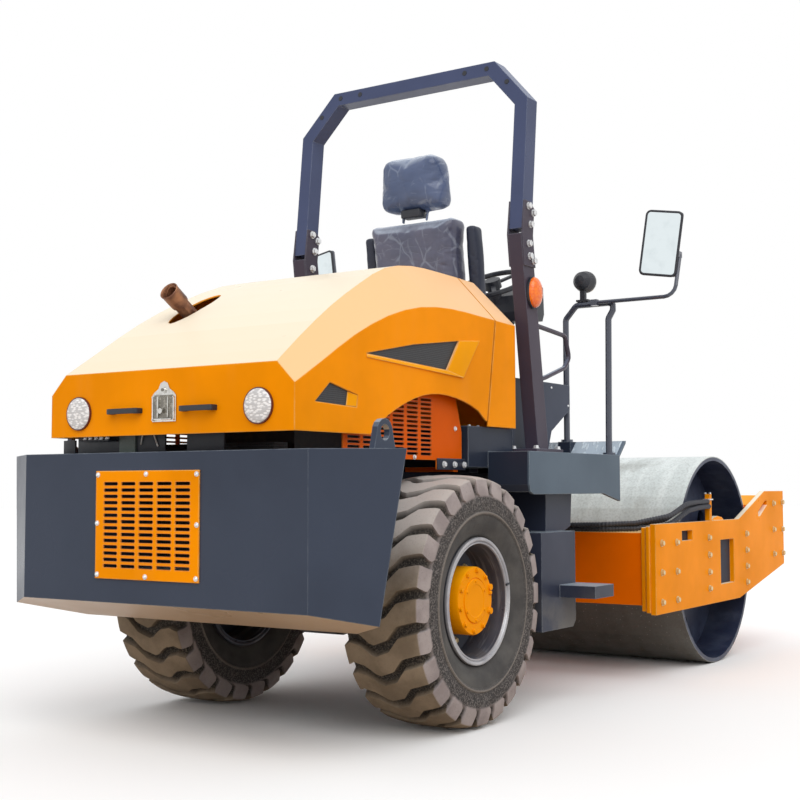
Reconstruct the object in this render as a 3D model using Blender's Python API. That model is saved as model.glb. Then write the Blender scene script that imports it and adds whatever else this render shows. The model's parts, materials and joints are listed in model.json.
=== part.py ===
"""Single-drum road roller: the construction of the machine, at its real size in metres.

The design frame has X forward, Y to the left and Z up, with its origin on the ground under the
rear axle. place_model moves the finished machine so that the origin lies on the ground at the
middle of its length.
"""

import math

import bmesh
import bpy
from mathutils import Matrix, Vector

# Clearances
SEAT_GAP = 0.0003
RUNNING_GAP = 0.006
PIN_GAP = 0.001

# Overall layout
WHEELBASE = 2.60
PIVOT_TO_DRUM = 1.32
ARTICULATION_X = WHEELBASE - PIVOT_TO_DRUM
TAIL_X = -1.1175
NOSE_REACH = 1.1625
NOSE_X = WHEELBASE + NOSE_REACH

# Rear wheels
TYRE_RADIUS = 0.5375
TYRE_CENTRE_Y = 0.6425
TREAD_HALF_WIDTH = 0.178
SIDEWALL_HALF_WIDTH = 0.197
LUG_DEPTH = 0.030
LUG_COUNT = 24
LUG_SHARE = 0.62
BEAD_RADIUS = 0.256
BEAD_GAP = 0.0012
RIM_FLANGE_RADIUS = 0.269
RIM_OUTER_Y = 0.816
RIM_WALL = 0.012
HUB_RADIUS = 0.1475
HUB_FACE_Y = 0.795
WHEEL_DISC_Y = 0.640
WHEEL_DISC_THICKNESS = 0.018
SPINDLE_RADIUS = 0.050
AXLE_RADIUS = 0.095
AXLE_END_Y = 0.500
DIFFERENTIAL_RADIUS = 0.185

# Drum
DRUM_RADIUS = 0.600
DRUM_WIDTH = 1.820
DRUM_SHELL = 0.025
DRUM_DISC_Y = 0.700
DRUM_DISC_THICKNESS = 0.025
DRUM_PORT_RADIUS = 0.055
DRUM_PORT_CIRCLE = 0.400
DRUM_PORT_COUNT = 6
TRUNNION_RADIUS = 0.060
TRUNNION_END_Y = 0.800
CARRIER_RADIUS = 0.165
CARRIER_FLANGE_RADIUS = 0.250
CARRIER_FLANGE = 0.030

# Front frame
SIDE_PLATE_OUTER_Y = 0.958
SIDE_PLATE_THICKNESS = 0.030
SIDE_PLATE_OVERHANG = 0.015
SIDE_PLATE_BEND = 0.285
SIDE_PLATE_SHOULDER = 0.780
SIDE_PLATE_BOTTOM_Z = 0.354
SIDE_PLATE_TOP_Z = 0.826
SIDE_PLATE_NOSE_LOW_Z = 0.518
SIDE_PLATE_NOSE_TOP_Z = 0.993
DRUM_BEAM_GAP = 0.070
REAR_BEAM_DEPTH = 0.330
REAR_BEAM_FRONT_X = WHEELBASE - DRUM_RADIUS - DRUM_BEAM_GAP
REAR_BEAM_X = (REAR_BEAM_FRONT_X - REAR_BEAM_DEPTH, REAR_BEAM_FRONT_X)
SIDE_PLATE_REAR_X = REAR_BEAM_X[0] - SIDE_PLATE_OVERHANG
SIDE_PLATE_BEND_X = WHEELBASE + SIDE_PLATE_BEND
SIDE_PLATE_SHOULDER_X = WHEELBASE + SIDE_PLATE_SHOULDER
REAR_BEAM_Z = (0.400, 0.780)
DRUM_NOSE_GAP = 0.150
FRONT_BEAM_INSET = 0.0275
FRONT_BEAM_X = (WHEELBASE + DRUM_RADIUS + DRUM_NOSE_GAP, NOSE_X - FRONT_BEAM_INSET)
PLATE_WINDOW_X = (-0.040, 0.190)
PLATE_WINDOW_Z = (0.455, 0.712)
PLATE_SLOT_X = (0.372, 0.532)
PLATE_SLOT_Z = (0.727, 0.781)
NOSE_SLOT = ((0.655, 0.836), (0.690, 0.836), (0.832, 0.905), (0.832, 0.932), (0.790, 0.932), (0.655, 0.866))
FRONT_BEAM_Z = (0.545, 0.965)
TONGUE_Z = (0.480, 0.700)
TONGUE_HALF_WIDTH = 0.130
CYLINDER_EAR_THICKNESS = 0.025

# Rear frame
RAIL_Y = 0.360
RAIL_THICKNESS = 0.040
RAIL_REAR_X = -0.7797
RAIL_TO_PIVOT = 0.180
RAIL_FRONT_X = ARTICULATION_X - RAIL_TO_PIVOT
RAIL_BOTTOM_Z = 0.700
RAIL_TOP_Z = 1.090
EAR_THICKNESS = 0.040
EAR_RADIUS = 0.110
KINGPIN_RADIUS = 0.045

# Steering cylinders
CYLINDER_Z = 0.590
CYLINDER_REAR = (ARTICULATION_X - 0.580, 0.180)
CYLINDER_FRONT = (ARTICULATION_X + 0.120, 0.240)
CYLINDER_BARREL_RADIUS = 0.045
CYLINDER_ROD_RADIUS = 0.022
CYLINDER_PIN_RADIUS = 0.020
CYLINDER_BARREL_LENGTH = 0.470
CYLINDER_ROD_LENGTH = 0.480
CYLINDER_EYE_RADIUS = 0.040
CYLINDER_EYE_HALF_HEIGHT = 0.046
CYLINDER_WINDOW_Z = (0.525, 0.655)

# Counterweight
COUNTERWEIGHT_REAR_HALF = 0.749
COUNTERWEIGHT_SIDE_X = -0.919
COUNTERWEIGHT_SIDE_HALF = 1.045
COUNTERWEIGHT_FRONT_X = -0.780
COUNTERWEIGHT_FRONT_HALF = 0.950
COUNTERWEIGHT_TOP_Z = 1.163
COUNTERWEIGHT_REAR_LOW_Z = 0.565
COUNTERWEIGHT_SLOPE = 0.29
COUNTERWEIGHT_LOW_SIDE = (-0.974, 0.963)
COUNTERWEIGHT_LOW_FRONT_HALF = 0.727
LUG_PLACES = ((-0.870, -0.905), (-0.855, 0.720))
LUG_RADIUS = 0.072
LUG_THICKNESS = 0.025
LUG_HOLE_RADIUS = 0.030
LUG_HOLE_Z = 0.062

# Radiator grille and what lies behind it
GRILLE_Y = 0.045
GRILLE_WIDTH = 0.555
GRILLE_Z = (0.660, 1.090)
GRILLE_THICKNESS = 0.006
GRILLE_FRAME = 0.045
GRILLE_COLUMNS = 5
GRILLE_ROWS = 14
GRILLE_SLOT_LENGTH = 0.078
GRILLE_SLOT_HEIGHT = 0.0135
RADIATOR_X = (-0.7797, -0.690)
RADIATOR_HALF_WIDTH = 0.318
RADIATOR_Z = (0.640, 1.205)

# Engine bay
ENGINE_X = (-0.560, 0.180)
ENGINE_HALF_WIDTH = 0.250
ENGINE_Z = (0.780, 1.380)
SIDE_PANEL_Y = 0.600
SIDE_PANEL_THICKNESS = 0.006
SIDE_PANEL_X = (-0.700, 0.215)
SIDE_PANEL_SPLIT_X = 0.010
SIDE_PANEL_LOW_Z = 1.140
SIDE_PANEL_TOP_Z = 1.440
SIDE_PANEL_PLAIN_LOW_Z = 1.100
PANEL_SLOT_COLUMNS = 6
PANEL_SLOT_ROWS = 13
PANEL_SLOT_LENGTH = 0.084
PANEL_SLOT_HEIGHT = 0.0105
PANEL_SLOT_PITCH = 0.108
PANEL_SLOT_START = (-0.668, 1.160)
PANEL_SLOT_RISE = 0.0195

# Hood and cowl: x, height of the side's upper edge, width of the sloped strip above it
HOOD_SECTIONS = (
    (-1.070, 1.410, 0.084),
    (-0.905, 1.501, 0.104),
    (-0.690, 1.621, 0.122),
    (-0.450, 1.724, 0.146),
    (-0.200, 1.788, 0.186),
    (0.050, 1.808, 0.212),
    (0.300, 1.803, 0.224),
    (0.637, 1.792, 0.228),
)
HOOD_HALF_WIDTH = 0.650
HOOD_BOTTOM_Z = 1.232
HOOD_WALL = 0.008
SEAM_LOW = (0.360, 1.311)
SEAM_LEAN = 0.165
SEAM_GAP = 0.012
COWL_BOTTOM_Z = 1.300
ARCH_TABLE = (
    (-0.600, 1.150),
    (-0.587, 1.228),
    (-0.454, 1.314),
    (-0.243, 1.397),
    (-0.067, 1.424),
    (0.128, 1.409),
    (0.300, 1.362),
    (0.351, 1.325),
    (0.500, 1.311),
    (0.500, 1.150),
)
HOOD_HINGE = (0.400, 1.955)
HINGE_SHAFT_RADIUS = 0.012
HINGE_ARM_Y = 0.300
HINGE_ARM_WIDTH = 0.030
PIPE_SLOT_X = (-0.705, -0.390)
PIPE_SLOT_HALF_WIDTH = 0.058
EXHAUST_Y = 0.320
EXHAUST_END_X = -0.695
EXHAUST_RADIUS = 0.036
EXHAUST_WALL = 0.004
HOOD_WINDOW = ((-0.611, 1.556), (0.009, 1.534), (0.113, 1.671), (-0.260, 1.622))
HOOD_WINDOW_SMALL = ((-0.946, 1.346), (-0.673, 1.337), (-0.666, 1.385), (-0.851, 1.424))
HOOD_MESH = (
    (-0.965, 1.322), (-0.650, 1.322), (-0.640, 1.505), (0.025, 1.512), (0.145, 1.695), (-0.260, 1.645),
    (-0.630, 1.585), (-0.680, 1.425), (-0.850, 1.442), (-0.965, 1.372),
)
HOOD_MESH_THICKNESS = 0.003
LAMP_RADIUS = 0.070
LAMP_Y = 0.481
LAMP_Z = 1.329
HANDLE_Y = (0.210, -0.185)
HANDLE_Z = 1.330
HANDLE_LENGTH = 0.180
LATCH_SIZE = (0.028, 0.140, 0.105)
LATCH_Z = 1.345

# Platform
PLATFORM_X = (0.420, 1.420)
PLATFORM_HALF_WIDTH = 0.836
PLATFORM_TOP_Z = 1.186
PLATFORM_WALL = 0.016
SKIRT_LOW_Z = 0.988
SKIRT_FLARE_X = 1.220
SKIRT_FLARE_Z = 0.948
TOE_BOARD_FRONT = (1.500, 1.262)
TOE_BOARD_THICKNESS = 0.012
COWL_BOX_X = (0.240, 0.660)
COWL_BOX_HALF_WIDTH = 0.620
COWL_BOX_LOW_Z = 1.112
CROSS_MEMBER_X = (0.600, 1.020)
CROSS_MEMBER_DEPTH = 0.080

# Side tanks with the boarding steps
TANK_TYRE_GAP = 0.0245
TANK_LENGTH = 0.353
TANK_X = (TYRE_RADIUS + TANK_TYRE_GAP, TYRE_RADIUS + TANK_TYRE_GAP + TANK_LENGTH)
TANK_OUTER_Y = 0.820
TANK_INNER_Y = 0.4003
TANK_Z = (0.353, 0.810)
TANK_CHAMFER = 0.030
TANK_NECK_X = (0.746, 1.040)
TANK_NECK_OUTER_Y = 0.750
STEP_X = (0.745, 0.950)
STEP_OUTER_Y = 1.004
STEP_Z = (0.501, 0.559)

# Roll-over frame
POST_Y = (0.620, 0.690)
POST_FOOT = (0.791, 1.2061)
POST_TOP = (0.630, 2.240)
POST_DEPTH = 0.110
FOOT_PLATE_X = (0.700, 0.980)
FOOT_PLATE_Y = (0.570, 0.730)
FOOT_PLATE_THICKNESS = 0.020
HOOP_LOW = (0.642, 2.266)
HOOP_SHOULDER_Z = 2.923
HOOP_TOP_Z = 3.143
HOOP_TOP_HALF_WIDTH = 0.4945
HOOP_DEPTH = 0.100
HOOP_LEAN = 0.104
JOINT_PLATE_Z = (2.086, 2.405)
JOINT_PLATE_THICKNESS = 0.008
GRAB_TOP_Z = 1.820
GRAB_LOW_Z = 1.540
GRAB_BENDS = ((1.165, 1.794), (1.209, 1.685), (1.150, 1.628), (0.948, 1.568))
GRAB_RADIUS = 0.0125
INDICATOR_X = 0.755
INDICATOR_Z = 1.962
INDICATOR_SIZE = (0.058, 0.078, 0.050)

# Operator's seat
SEAT_X = (0.830, 1.290)
SEAT_HALF_WIDTH = 0.245
CUSHION_Z = (1.690, 1.805)
PEDESTAL_HALF_WIDTH = 0.200
BACK_FOOT_X = 0.790
BACK_THICKNESS = 0.130
BACK_Z = (1.835, 2.400)
BACK_HALF_WIDTH = 0.262
BACK_LEAN = 0.13
HEADREST_Z = (2.455, 2.720)
HEADREST_HALF_WIDTH = 0.180
HEADREST_THICKNESS = 0.145
HEADREST_POST_RADIUS = 0.009
HEADREST_POST_Y = 0.070
ARMREST_Y = (0.280, 0.342)
ARMREST_Z = (1.980, 2.350)
ARMREST_DEPTH = 0.090
ARMREST_PIVOT_RADIUS = 0.022

# Steering
STEERING_CENTRE = (1.400, -0.100, 2.140)
STEERING_TILT = 28.0
STEERING_RADIUS = 0.210
STEERING_RIM_RADIUS = 0.015
STEERING_HUB_DROP = 0.024
COLUMN_HALF_WIDTH = 0.075
COLUMN_FOOT_X = (1.250, 1.400)
DASH_X = (1.405, 1.550)
DASH_HALF_WIDTH = 0.240
DASH_Z = (1.930, 2.100)

# Consoles beside the seat
CONSOLE_X = (0.668, 1.415)
CONSOLE_Y = (0.496, 0.556)
CONSOLE_TOP_Z = 1.560
CONSOLE_KNEE_X = (1.150, 1.200)
CONSOLE_KNEE_Z = (1.310, 1.430)

# Handrails, lamps and mirrors
RAIL_TUBE_RADIUS = 0.017
HANDRAIL_X = 1.450
HANDRAIL_INNER = (1.462, 0.515)
HANDRAIL_OUTER = (1.380, 0.795)
HANDRAIL_TOP_Z = 1.990
HANDRAIL_CORNER_Y = 0.820
HANDRAIL_KINK = (0.772, 1.905)
HANDRAIL_FLANGE_RADIUS = 0.032
HANDRAIL_PAD_HALF = 0.036
WORK_LAMP_Y = 0.625
WORK_LAMP_Z = 2.117
WORK_LAMP_RADIUS = 0.058
WORK_LAMP_DEPTH = 0.090
MIRROR_ARM_Y = (0.700, 1.150)
MIRROR_ARM_RADIUS = 0.0105
MIRROR_CLAMP = 0.024
MIRROR_CENTRE = (1.435, 1.078, 2.270)
MIRROR_SIZE = (0.032, 0.190, 0.335)
MIRROR_TURN = 10.0
MIRROR_TIP = 8.0

# Hose bundle along the front frame
HOSE_RADIUS = 0.024
HOSE_PATH = (
    (1.640, -0.640, 0.8045), (1.760, -0.760, 0.8060), (1.900, -0.905, 0.8400), (2.060, -0.944, 0.9100),
    (2.230, -0.944, 0.9200), (2.3947, -0.944, 0.9200),
)
BRACKET_X = (2.395, 2.425)
BRACKET_TOP_Z = 0.980

ORANGE = (0.890, 0.275, 0.008)
SLATE = (0.060, 0.070, 0.098)
BLACK = (0.012, 0.013, 0.016)
STEEL = (0.430, 0.420, 0.390)
RUBBER = (0.060, 0.052, 0.046)
SILVER = (0.480, 0.480, 0.480)
AMBER = (0.900, 0.220, 0.010)
LENS = (0.800, 0.800, 0.780)
VINYL = (0.070, 0.074, 0.090)

CIRCLE = 24
DRUM_SEGMENTS = 48


def make_material(name, colour, roughness=0.5, metallic=0.0):
    """Return the Principled material of that name, made on its first use."""
    found = bpy.data.materials.get(name)
    if found:
        return found
    material = bpy.data.materials.new(name)
    material.use_nodes = True
    shader = material.node_tree.nodes["Principled BSDF"]
    shader.inputs["Base Color"].default_value = (*colour, 1.0)
    shader.inputs["Roughness"].default_value = roughness
    shader.inputs["Metallic"].default_value = metallic
    return material


def paint_orange():
    return make_material("orange paint", ORANGE, 0.35)


def paint_slate():
    return make_material("slate paint", SLATE, 0.40)


def black_plastic():
    return make_material("black plastic", BLACK, 0.50)


def bare_steel():
    return make_material("bare steel", STEEL, 0.55, 0.8)


def finish(name, bm, material, smooth_angle=32.0):
    """Turn a bmesh into a named object that carries one material."""
    bmesh.ops.remove_doubles(bm, verts=bm.verts[:], dist=1e-6)
    bmesh.ops.recalc_face_normals(bm, faces=bm.faces[:])
    mesh = bpy.data.meshes.new(name)
    bm.to_mesh(mesh)
    bm.free()
    mesh.materials.append(material)
    shade(mesh, smooth_angle)
    obj = bpy.data.objects.new(name, mesh)
    bpy.context.scene.collection.objects.link(obj)
    return obj


def shade(mesh, smooth_angle=32.0):
    """Shade round faces smooth and keep the edges between flat ones sharp."""
    mesh.shade_smooth()
    mesh.set_sharp_from_angle(angle=math.radians(smooth_angle))


def combine(obj, others, operation):
    """Apply one exact Boolean of obj with each other object, which it uses up."""
    for other in others:
        modifier = obj.modifiers.new("combine", "BOOLEAN")
        modifier.operation = operation
        modifier.solver = "EXACT"
        modifier.object = other
        bpy.context.view_layer.update()
        graph = bpy.context.evaluated_depsgraph_get()
        result = bpy.data.meshes.new_from_object(obj.evaluated_get(graph))
        obj.modifiers.clear()
        old = obj.data
        name = old.name
        obj.data = result
        bpy.data.meshes.remove(old)
        result.name = name
        bpy.data.objects.remove(other)
    shade(obj.data)
    return obj


def fuse(obj, *others):
    return combine(obj, others, "UNION")


def cut(obj, *others):
    return combine(obj, others, "DIFFERENCE")


def prism(name, outline, axis, start, end, material=None):
    """Extrude a closed outline along an axis; its points are the other two coordinates in order."""
    bm = bmesh.new()
    verts = []
    for first, second in outline:
        point = [first, second]
        point.insert("XYZ".index(axis), start)
        verts.append(bm.verts.new(point))
    face = bm.faces.new(verts)
    swept = bmesh.ops.extrude_face_region(bm, geom=[face])
    moved = [item for item in swept["geom"] if isinstance(item, bmesh.types.BMVert)]
    step = Vector((0.0, 0.0, 0.0))
    step["XYZ".index(axis)] = end - start
    bmesh.ops.translate(bm, verts=moved, vec=step)
    return finish(name, bm, material or paint_slate())


def box(name, x, y, z, material=None):
    """A block between two heights on each axis."""
    outline = [(x[0], y[0]), (x[1], y[0]), (x[1], y[1]), (x[0], y[1])]
    return prism(name, outline, "Z", z[0], z[1], material)


def rounded(obj, radius, segments=2, keep_z=None):
    """Round the edges of an object's mesh, or only the upright ones with keep_z."""
    bm = bmesh.new()
    bm.from_mesh(obj.data)
    edges = bm.edges[:]
    if keep_z:
        edges = [edge for edge in edges if abs((edge.verts[0].co - edge.verts[1].co).normalized().z) > 0.9]
    bmesh.ops.bevel(bm, geom=edges, offset=radius, segments=segments, affect="EDGES", profile=0.5)
    bmesh.ops.recalc_face_normals(bm, faces=bm.faces[:])
    bm.to_mesh(obj.data)
    bm.free()
    shade(obj.data)
    return obj


def lathe(name, profile, axis, centre, material=None, segments=CIRCLE):
    """Turn a closed profile of (along, radius) points about an axis through centre."""
    bm = bmesh.new()
    verts = [bm.verts.new((radius, 0.0, along)) for along, radius in profile]
    edges = [bm.edges.new((verts[i], verts[(i + 1) % len(verts)])) for i in range(len(verts))]
    edges = [edge for edge in edges if max(abs(v.co.x) for v in edge.verts) > 1e-9]
    bmesh.ops.spin(
        bm,
        geom=verts + edges,
        cent=(0.0, 0.0, 0.0),
        axis=(0.0, 0.0, 1.0),
        angle=math.tau,
        steps=segments,
        use_merge=True,
    )
    loose = [edge for edge in bm.edges if not edge.link_faces]
    bmesh.ops.delete(bm, geom=loose, context="EDGES")
    bmesh.ops.remove_doubles(bm, verts=bm.verts[:], dist=1e-6)
    bmesh.ops.dissolve_degenerate(bm, edges=bm.edges[:], dist=1e-7)
    dissolve_flat_caps(bm)
    turn = {
        "Z": Matrix.Identity(4),
        "Y": Matrix.Rotation(math.radians(-90.0), 4, "X"),
        "X": Matrix.Rotation(math.radians(90.0), 4, "Y"),
    }[axis]
    bmesh.ops.transform(bm, matrix=Matrix.Translation(centre) @ turn, verts=bm.verts[:])
    return finish(name, bm, material or paint_slate())


def dissolve_flat_caps(bm):
    """Make each flat round end that fans out from the Z axis a single face."""
    centres = []
    for vertex in bm.verts:
        if vertex.co.xy.length < 1e-7:
            normal = vertex.link_faces[0].normal
            if all(abs(face.normal.dot(normal)) > 0.99999 for face in vertex.link_faces):
                centres.append(vertex)
    bmesh.ops.dissolve_verts(bm, verts=centres)


def cylinder(name, axis, centre, radius, start, end, material=None, segments=CIRCLE):
    """A round bar along an axis, between two places measured from centre."""
    profile = [(start, 0.0), (start, radius), (end, radius), (end, 0.0)]
    return lathe(name, profile, axis, centre, material, segments)


def tube(name, points, radius, material=None, sides=2):
    """A round tube with closed ends along a list of points, as one mesh."""
    curve = bpy.data.curves.new(name, "CURVE")
    curve.dimensions = "3D"
    curve.bevel_depth = radius
    curve.bevel_resolution = sides
    curve.use_fill_caps = True
    spline = curve.splines.new("POLY")
    spline.points.add(len(points) - 1)
    for slot, point in zip(spline.points, points):
        slot.co = (*point, 1.0)
    guide = bpy.data.objects.new(name, curve)
    bpy.context.scene.collection.objects.link(guide)
    bpy.context.view_layer.update()
    graph = bpy.context.evaluated_depsgraph_get()
    mesh = bpy.data.meshes.new_from_object(guide.evaluated_get(graph))
    bpy.data.objects.remove(guide)
    bpy.data.curves.remove(curve)
    bm = bmesh.new()
    bm.from_mesh(mesh)
    bpy.data.meshes.remove(mesh)
    return finish(name, bm, material or black_plastic())


def bend(points, radius, steps=4):
    """Round each inner corner of a path with an arc of the given radius."""
    path = [Vector(points[0])]
    for before, corner, after in zip(points, points[1:], points[2:]):
        corner = Vector(corner)
        back = (Vector(before) - corner).normalized()
        ahead = (Vector(after) - corner).normalized()
        half = back.angle(ahead) / 2.0
        reach = radius / math.tan(half)
        centre = corner + (back + ahead).normalized() * (radius / math.sin(half))
        start = corner + back * reach - centre
        end = corner + ahead * reach - centre
        for step in range(steps + 1):
            path.append(centre + start.slerp(end, step / steps) * radius)
    path.append(Vector(points[-1]))
    return path


def smooth_row(rows, x):
    """A row of a table at x, on a smooth curve through its rows, whose first column is the place."""
    last = len(rows) - 1
    index = 0
    while index < last - 1 and x > rows[index + 1][0]:
        index += 1
    low, high = rows[index], rows[index + 1]
    before, after = rows[max(index - 1, 0)], rows[min(index + 2, last)]
    span = high[0] - low[0]
    share = min(max((x - low[0]) / span, 0.0), 1.0)
    values = [x]
    for column in range(1, len(low)):
        slope_low = (high[column] - before[column]) / (high[0] - before[0]) * span
        slope_high = (after[column] - low[column]) / (after[0] - low[0]) * span
        square, cube = share * share, share ** 3
        values.append(
            (2.0 * cube - 3.0 * square + 1.0) * low[column] + (cube - 2.0 * square + share) * slope_low
            + (3.0 * square - 2.0 * cube) * high[column] + (cube - square) * slope_high
        )
    return values


def slotted_sheet(name, x, z, columns, rows, low, high, axis, material):
    """A flat sheet across an axis with a grid of slots, built as one closed body.

    columns and rows list the (start, end) of each slot along the sheet and up it.
    """
    alongs = sorted({x[0], x[1]} | {value for pair in columns for value in pair})
    ups = sorted({z[0], z[1]} | {value for pair in rows for value in pair})
    holes = {(alongs.index(a), ups.index(b)) for a, _ in columns for b, _ in rows}
    bm = bmesh.new()
    corners = {}

    def corner(i, j, depth):
        key = (i, j, depth)
        if key not in corners:
            point = [alongs[i], ups[j]]
            point.insert("XY".index(axis), depth)
            corners[key] = bm.verts.new(point)
        return corners[key]

    cells = {(i, j) for i in range(len(alongs) - 1) for j in range(len(ups) - 1)} - holes
    for i, j in sorted(cells):
        square = ((i, j), (i + 1, j), (i + 1, j + 1), (i, j + 1))
        for depth in (low, high):
            bm.faces.new([corner(a, b, depth) for a, b in square])
        for (di, dj), (a, b) in zip(((0, -1), (1, 0), (0, 1), (-1, 0)), zip(square, square[1:] + square[:1])):
            if (i + di, j + dj) not in cells:
                bm.faces.new((corner(*a, low), corner(*b, low), corner(*b, high), corner(*a, high)))
    plain_edge = {(i, j) for i in range(2, len(alongs) - 2) for j in (0, len(ups) - 1)}
    plain_edge |= {(i, j) for i in (0, len(alongs) - 1) for j in range(2, len(ups) - 2)}
    places = {vertex: key for key, vertex in corners.items()}
    spare = []
    for edge in bm.edges:
        (i, j, depth), (k, l, other) = (places[vertex] for vertex in edge.verts)
        at_edge = (i, j) in plain_edge or (k, l) in plain_edge
        inwards = {i, k} in ({0, 1}, {len(alongs) - 2, len(alongs) - 1}) and j == l and 1 < j < len(ups) - 2
        inwards = inwards or {j, l} in ({0, 1}, {len(ups) - 2, len(ups) - 1}) and i == k and 1 < i < len(alongs) - 2
        if at_edge and (depth != other or inwards):
            spare.append(edge)
    bmesh.ops.dissolve_edges(bm, edges=spare, use_verts=True)
    return finish(name, bm, material)


def side_name(stem, side):
    return stem + ("_left" if side > 0 else "_right")


def place_along(obj, origin):
    """Put an object's origin on its joint's axis without moving its mesh."""
    shift = Vector(origin)
    obj.data.transform(Matrix.Translation(-shift))
    obj.location = shift
    return obj


def arc(centre, radius, start, end, steps):
    """Points of an arc in a plane, from one angle to another in degrees."""
    points = []
    for step in range(steps + 1):
        angle = math.radians(start + (end - start) * step / steps)
        points.append((centre[0] + radius * math.cos(angle), centre[1] + radius * math.sin(angle)))
    return points


# Rear wheels


def tyre_profile(groove):
    """The tyre's section as (y, radius) from the inner bead round the tread to the outer bead."""
    drop = LUG_DEPTH if groove else 0.0
    inset = 0.012 if groove else 0.0
    half = [
        (0.150, BEAD_RADIUS),
        (0.150, RIM_FLANGE_RADIUS + 0.003),
        (SIDEWALL_HALF_WIDTH, 0.375),
        (SIDEWALL_HALF_WIDTH - 0.001 - inset, 0.455),
        (TREAD_HALF_WIDTH - inset, TYRE_RADIUS - 0.014 - drop * 0.85),
    ]
    outer = list(half)
    inner = [(-y, radius) for y, radius in reversed(half)]
    return outer + [(0.0, TYRE_RADIUS - drop)] + inner


def lug_wave(y):
    """How far round the tyre a lug is shifted at a place across the tread, in lug pitches."""
    return 0.22 * math.sin(math.pi * y / TREAD_HALF_WIDTH)


def tyre(side):
    """A tyre with deep wavy lugs: a ring whose stations lie in turn on lugs and in grooves."""
    bm = bmesh.new()
    pitch = math.tau / LUG_COUNT
    stations = ((0.03, False), (LUG_SHARE, False), (LUG_SHARE + 0.07, True), (0.96, True))
    rings = []
    for lug in range(LUG_COUNT):
        for share, groove in stations:
            ring = []
            for y, radius in tyre_profile(groove):
                wave = lug_wave(y) if radius > 0.45 else 0.0
                angle = (lug + share + wave) * pitch
                ring.append(bm.verts.new((radius * math.cos(angle), y, radius * math.sin(angle))))
            rings.append(ring)
    count = len(rings[0])
    for here, there in zip(rings, rings[1:] + rings[:1]):
        for index in range(count):
            after = (index + 1) % count
            bm.faces.new((here[index], here[after], there[after], there[index]))
    turn = Matrix.Rotation(math.radians(90.0) - (0.03 + LUG_SHARE) / 2.0 * pitch, 4, "Y")
    flip = Matrix.Scale(side, 4, (0.0, 1.0, 0.0))
    place = Matrix.Translation((0.0, side * TYRE_CENTRE_Y, TYRE_RADIUS))
    bmesh.ops.transform(bm, matrix=place @ flip @ turn, verts=bm.verts[:])
    material = make_material("tyre rubber", RUBBER, 0.85)
    obj = finish(side_name("tyre", side), bm, material)
    return place_along(obj, (0.0, side * TYRE_CENTRE_Y, TYRE_RADIUS))


def wheel_rim(side):
    """A drop-centre rim with its flanges, the wheel disc and the hub that turns with it."""
    inner_y = 2.0 * TYRE_CENTRE_Y - RIM_OUTER_Y
    seat = BEAD_RADIUS - BEAD_GAP
    wall = RIM_WALL
    disc_in = WHEEL_DISC_Y
    disc_out = WHEEL_DISC_Y + WHEEL_DISC_THICKNESS
    bead_out = TYRE_CENTRE_Y + 0.150 + SEAT_GAP
    bead_in = TYRE_CENTRE_Y - 0.150 - SEAT_GAP
    profile = [
        (inner_y, RIM_FLANGE_RADIUS),
        (bead_in, RIM_FLANGE_RADIUS),
        (bead_in, seat),
        (bead_out, seat),
        (bead_out, RIM_FLANGE_RADIUS),
        (RIM_OUTER_Y, RIM_FLANGE_RADIUS),
        (RIM_OUTER_Y, RIM_FLANGE_RADIUS - wall),
        (bead_out - wall, seat - wall),
        (disc_out, seat - wall),
        (disc_out, HUB_RADIUS),
        (HUB_FACE_Y - 0.012, HUB_RADIUS),
        (HUB_FACE_Y, HUB_RADIUS - 0.012),
        (HUB_FACE_Y, 0.0),
        (AXLE_END_Y + 0.110, 0.0),
        (AXLE_END_Y + 0.110, SPINDLE_RADIUS + PIN_GAP),
        (AXLE_END_Y + RUNNING_GAP, SPINDLE_RADIUS + PIN_GAP),
        (AXLE_END_Y + RUNNING_GAP, HUB_RADIUS),
        (disc_in, HUB_RADIUS),
        (disc_in, seat - wall),
        (bead_in + wall, seat - wall),
        (inner_y, RIM_FLANGE_RADIUS - wall),
    ]
    profile = [(side * along, radius) for along, radius in profile]
    material = make_material("silver rim paint", SILVER, 0.4, 0.6)
    obj = lathe(side_name("wheel_rim", side), profile, "Y", (0.0, 0.0, TYRE_RADIUS), material, 24)
    return place_along(obj, (0.0, side * TYRE_CENTRE_Y, TYRE_RADIUS))


def rear_axle():
    """The drive axle: its beam with the differential, end flanges and wheel spindles."""
    half = [
        (0.0, DIFFERENTIAL_RADIUS),
        (0.100, DIFFERENTIAL_RADIUS),
        (0.190, AXLE_RADIUS),
        (AXLE_END_Y - 0.030, AXLE_RADIUS),
        (AXLE_END_Y - 0.030, HUB_RADIUS - 0.012),
        (AXLE_END_Y, HUB_RADIUS - 0.012),
        (AXLE_END_Y, SPINDLE_RADIUS),
        (AXLE_END_Y + 0.100, SPINDLE_RADIUS),
        (AXLE_END_Y + 0.100, 0.0),
    ]
    mirrored = [(-along, radius) for along, radius in reversed(half[1:])]
    return lathe("rear_axle", mirrored + half[1:], "Y", (0.0, 0.0, TYRE_RADIUS), paint_slate())


# Rear frame


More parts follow.
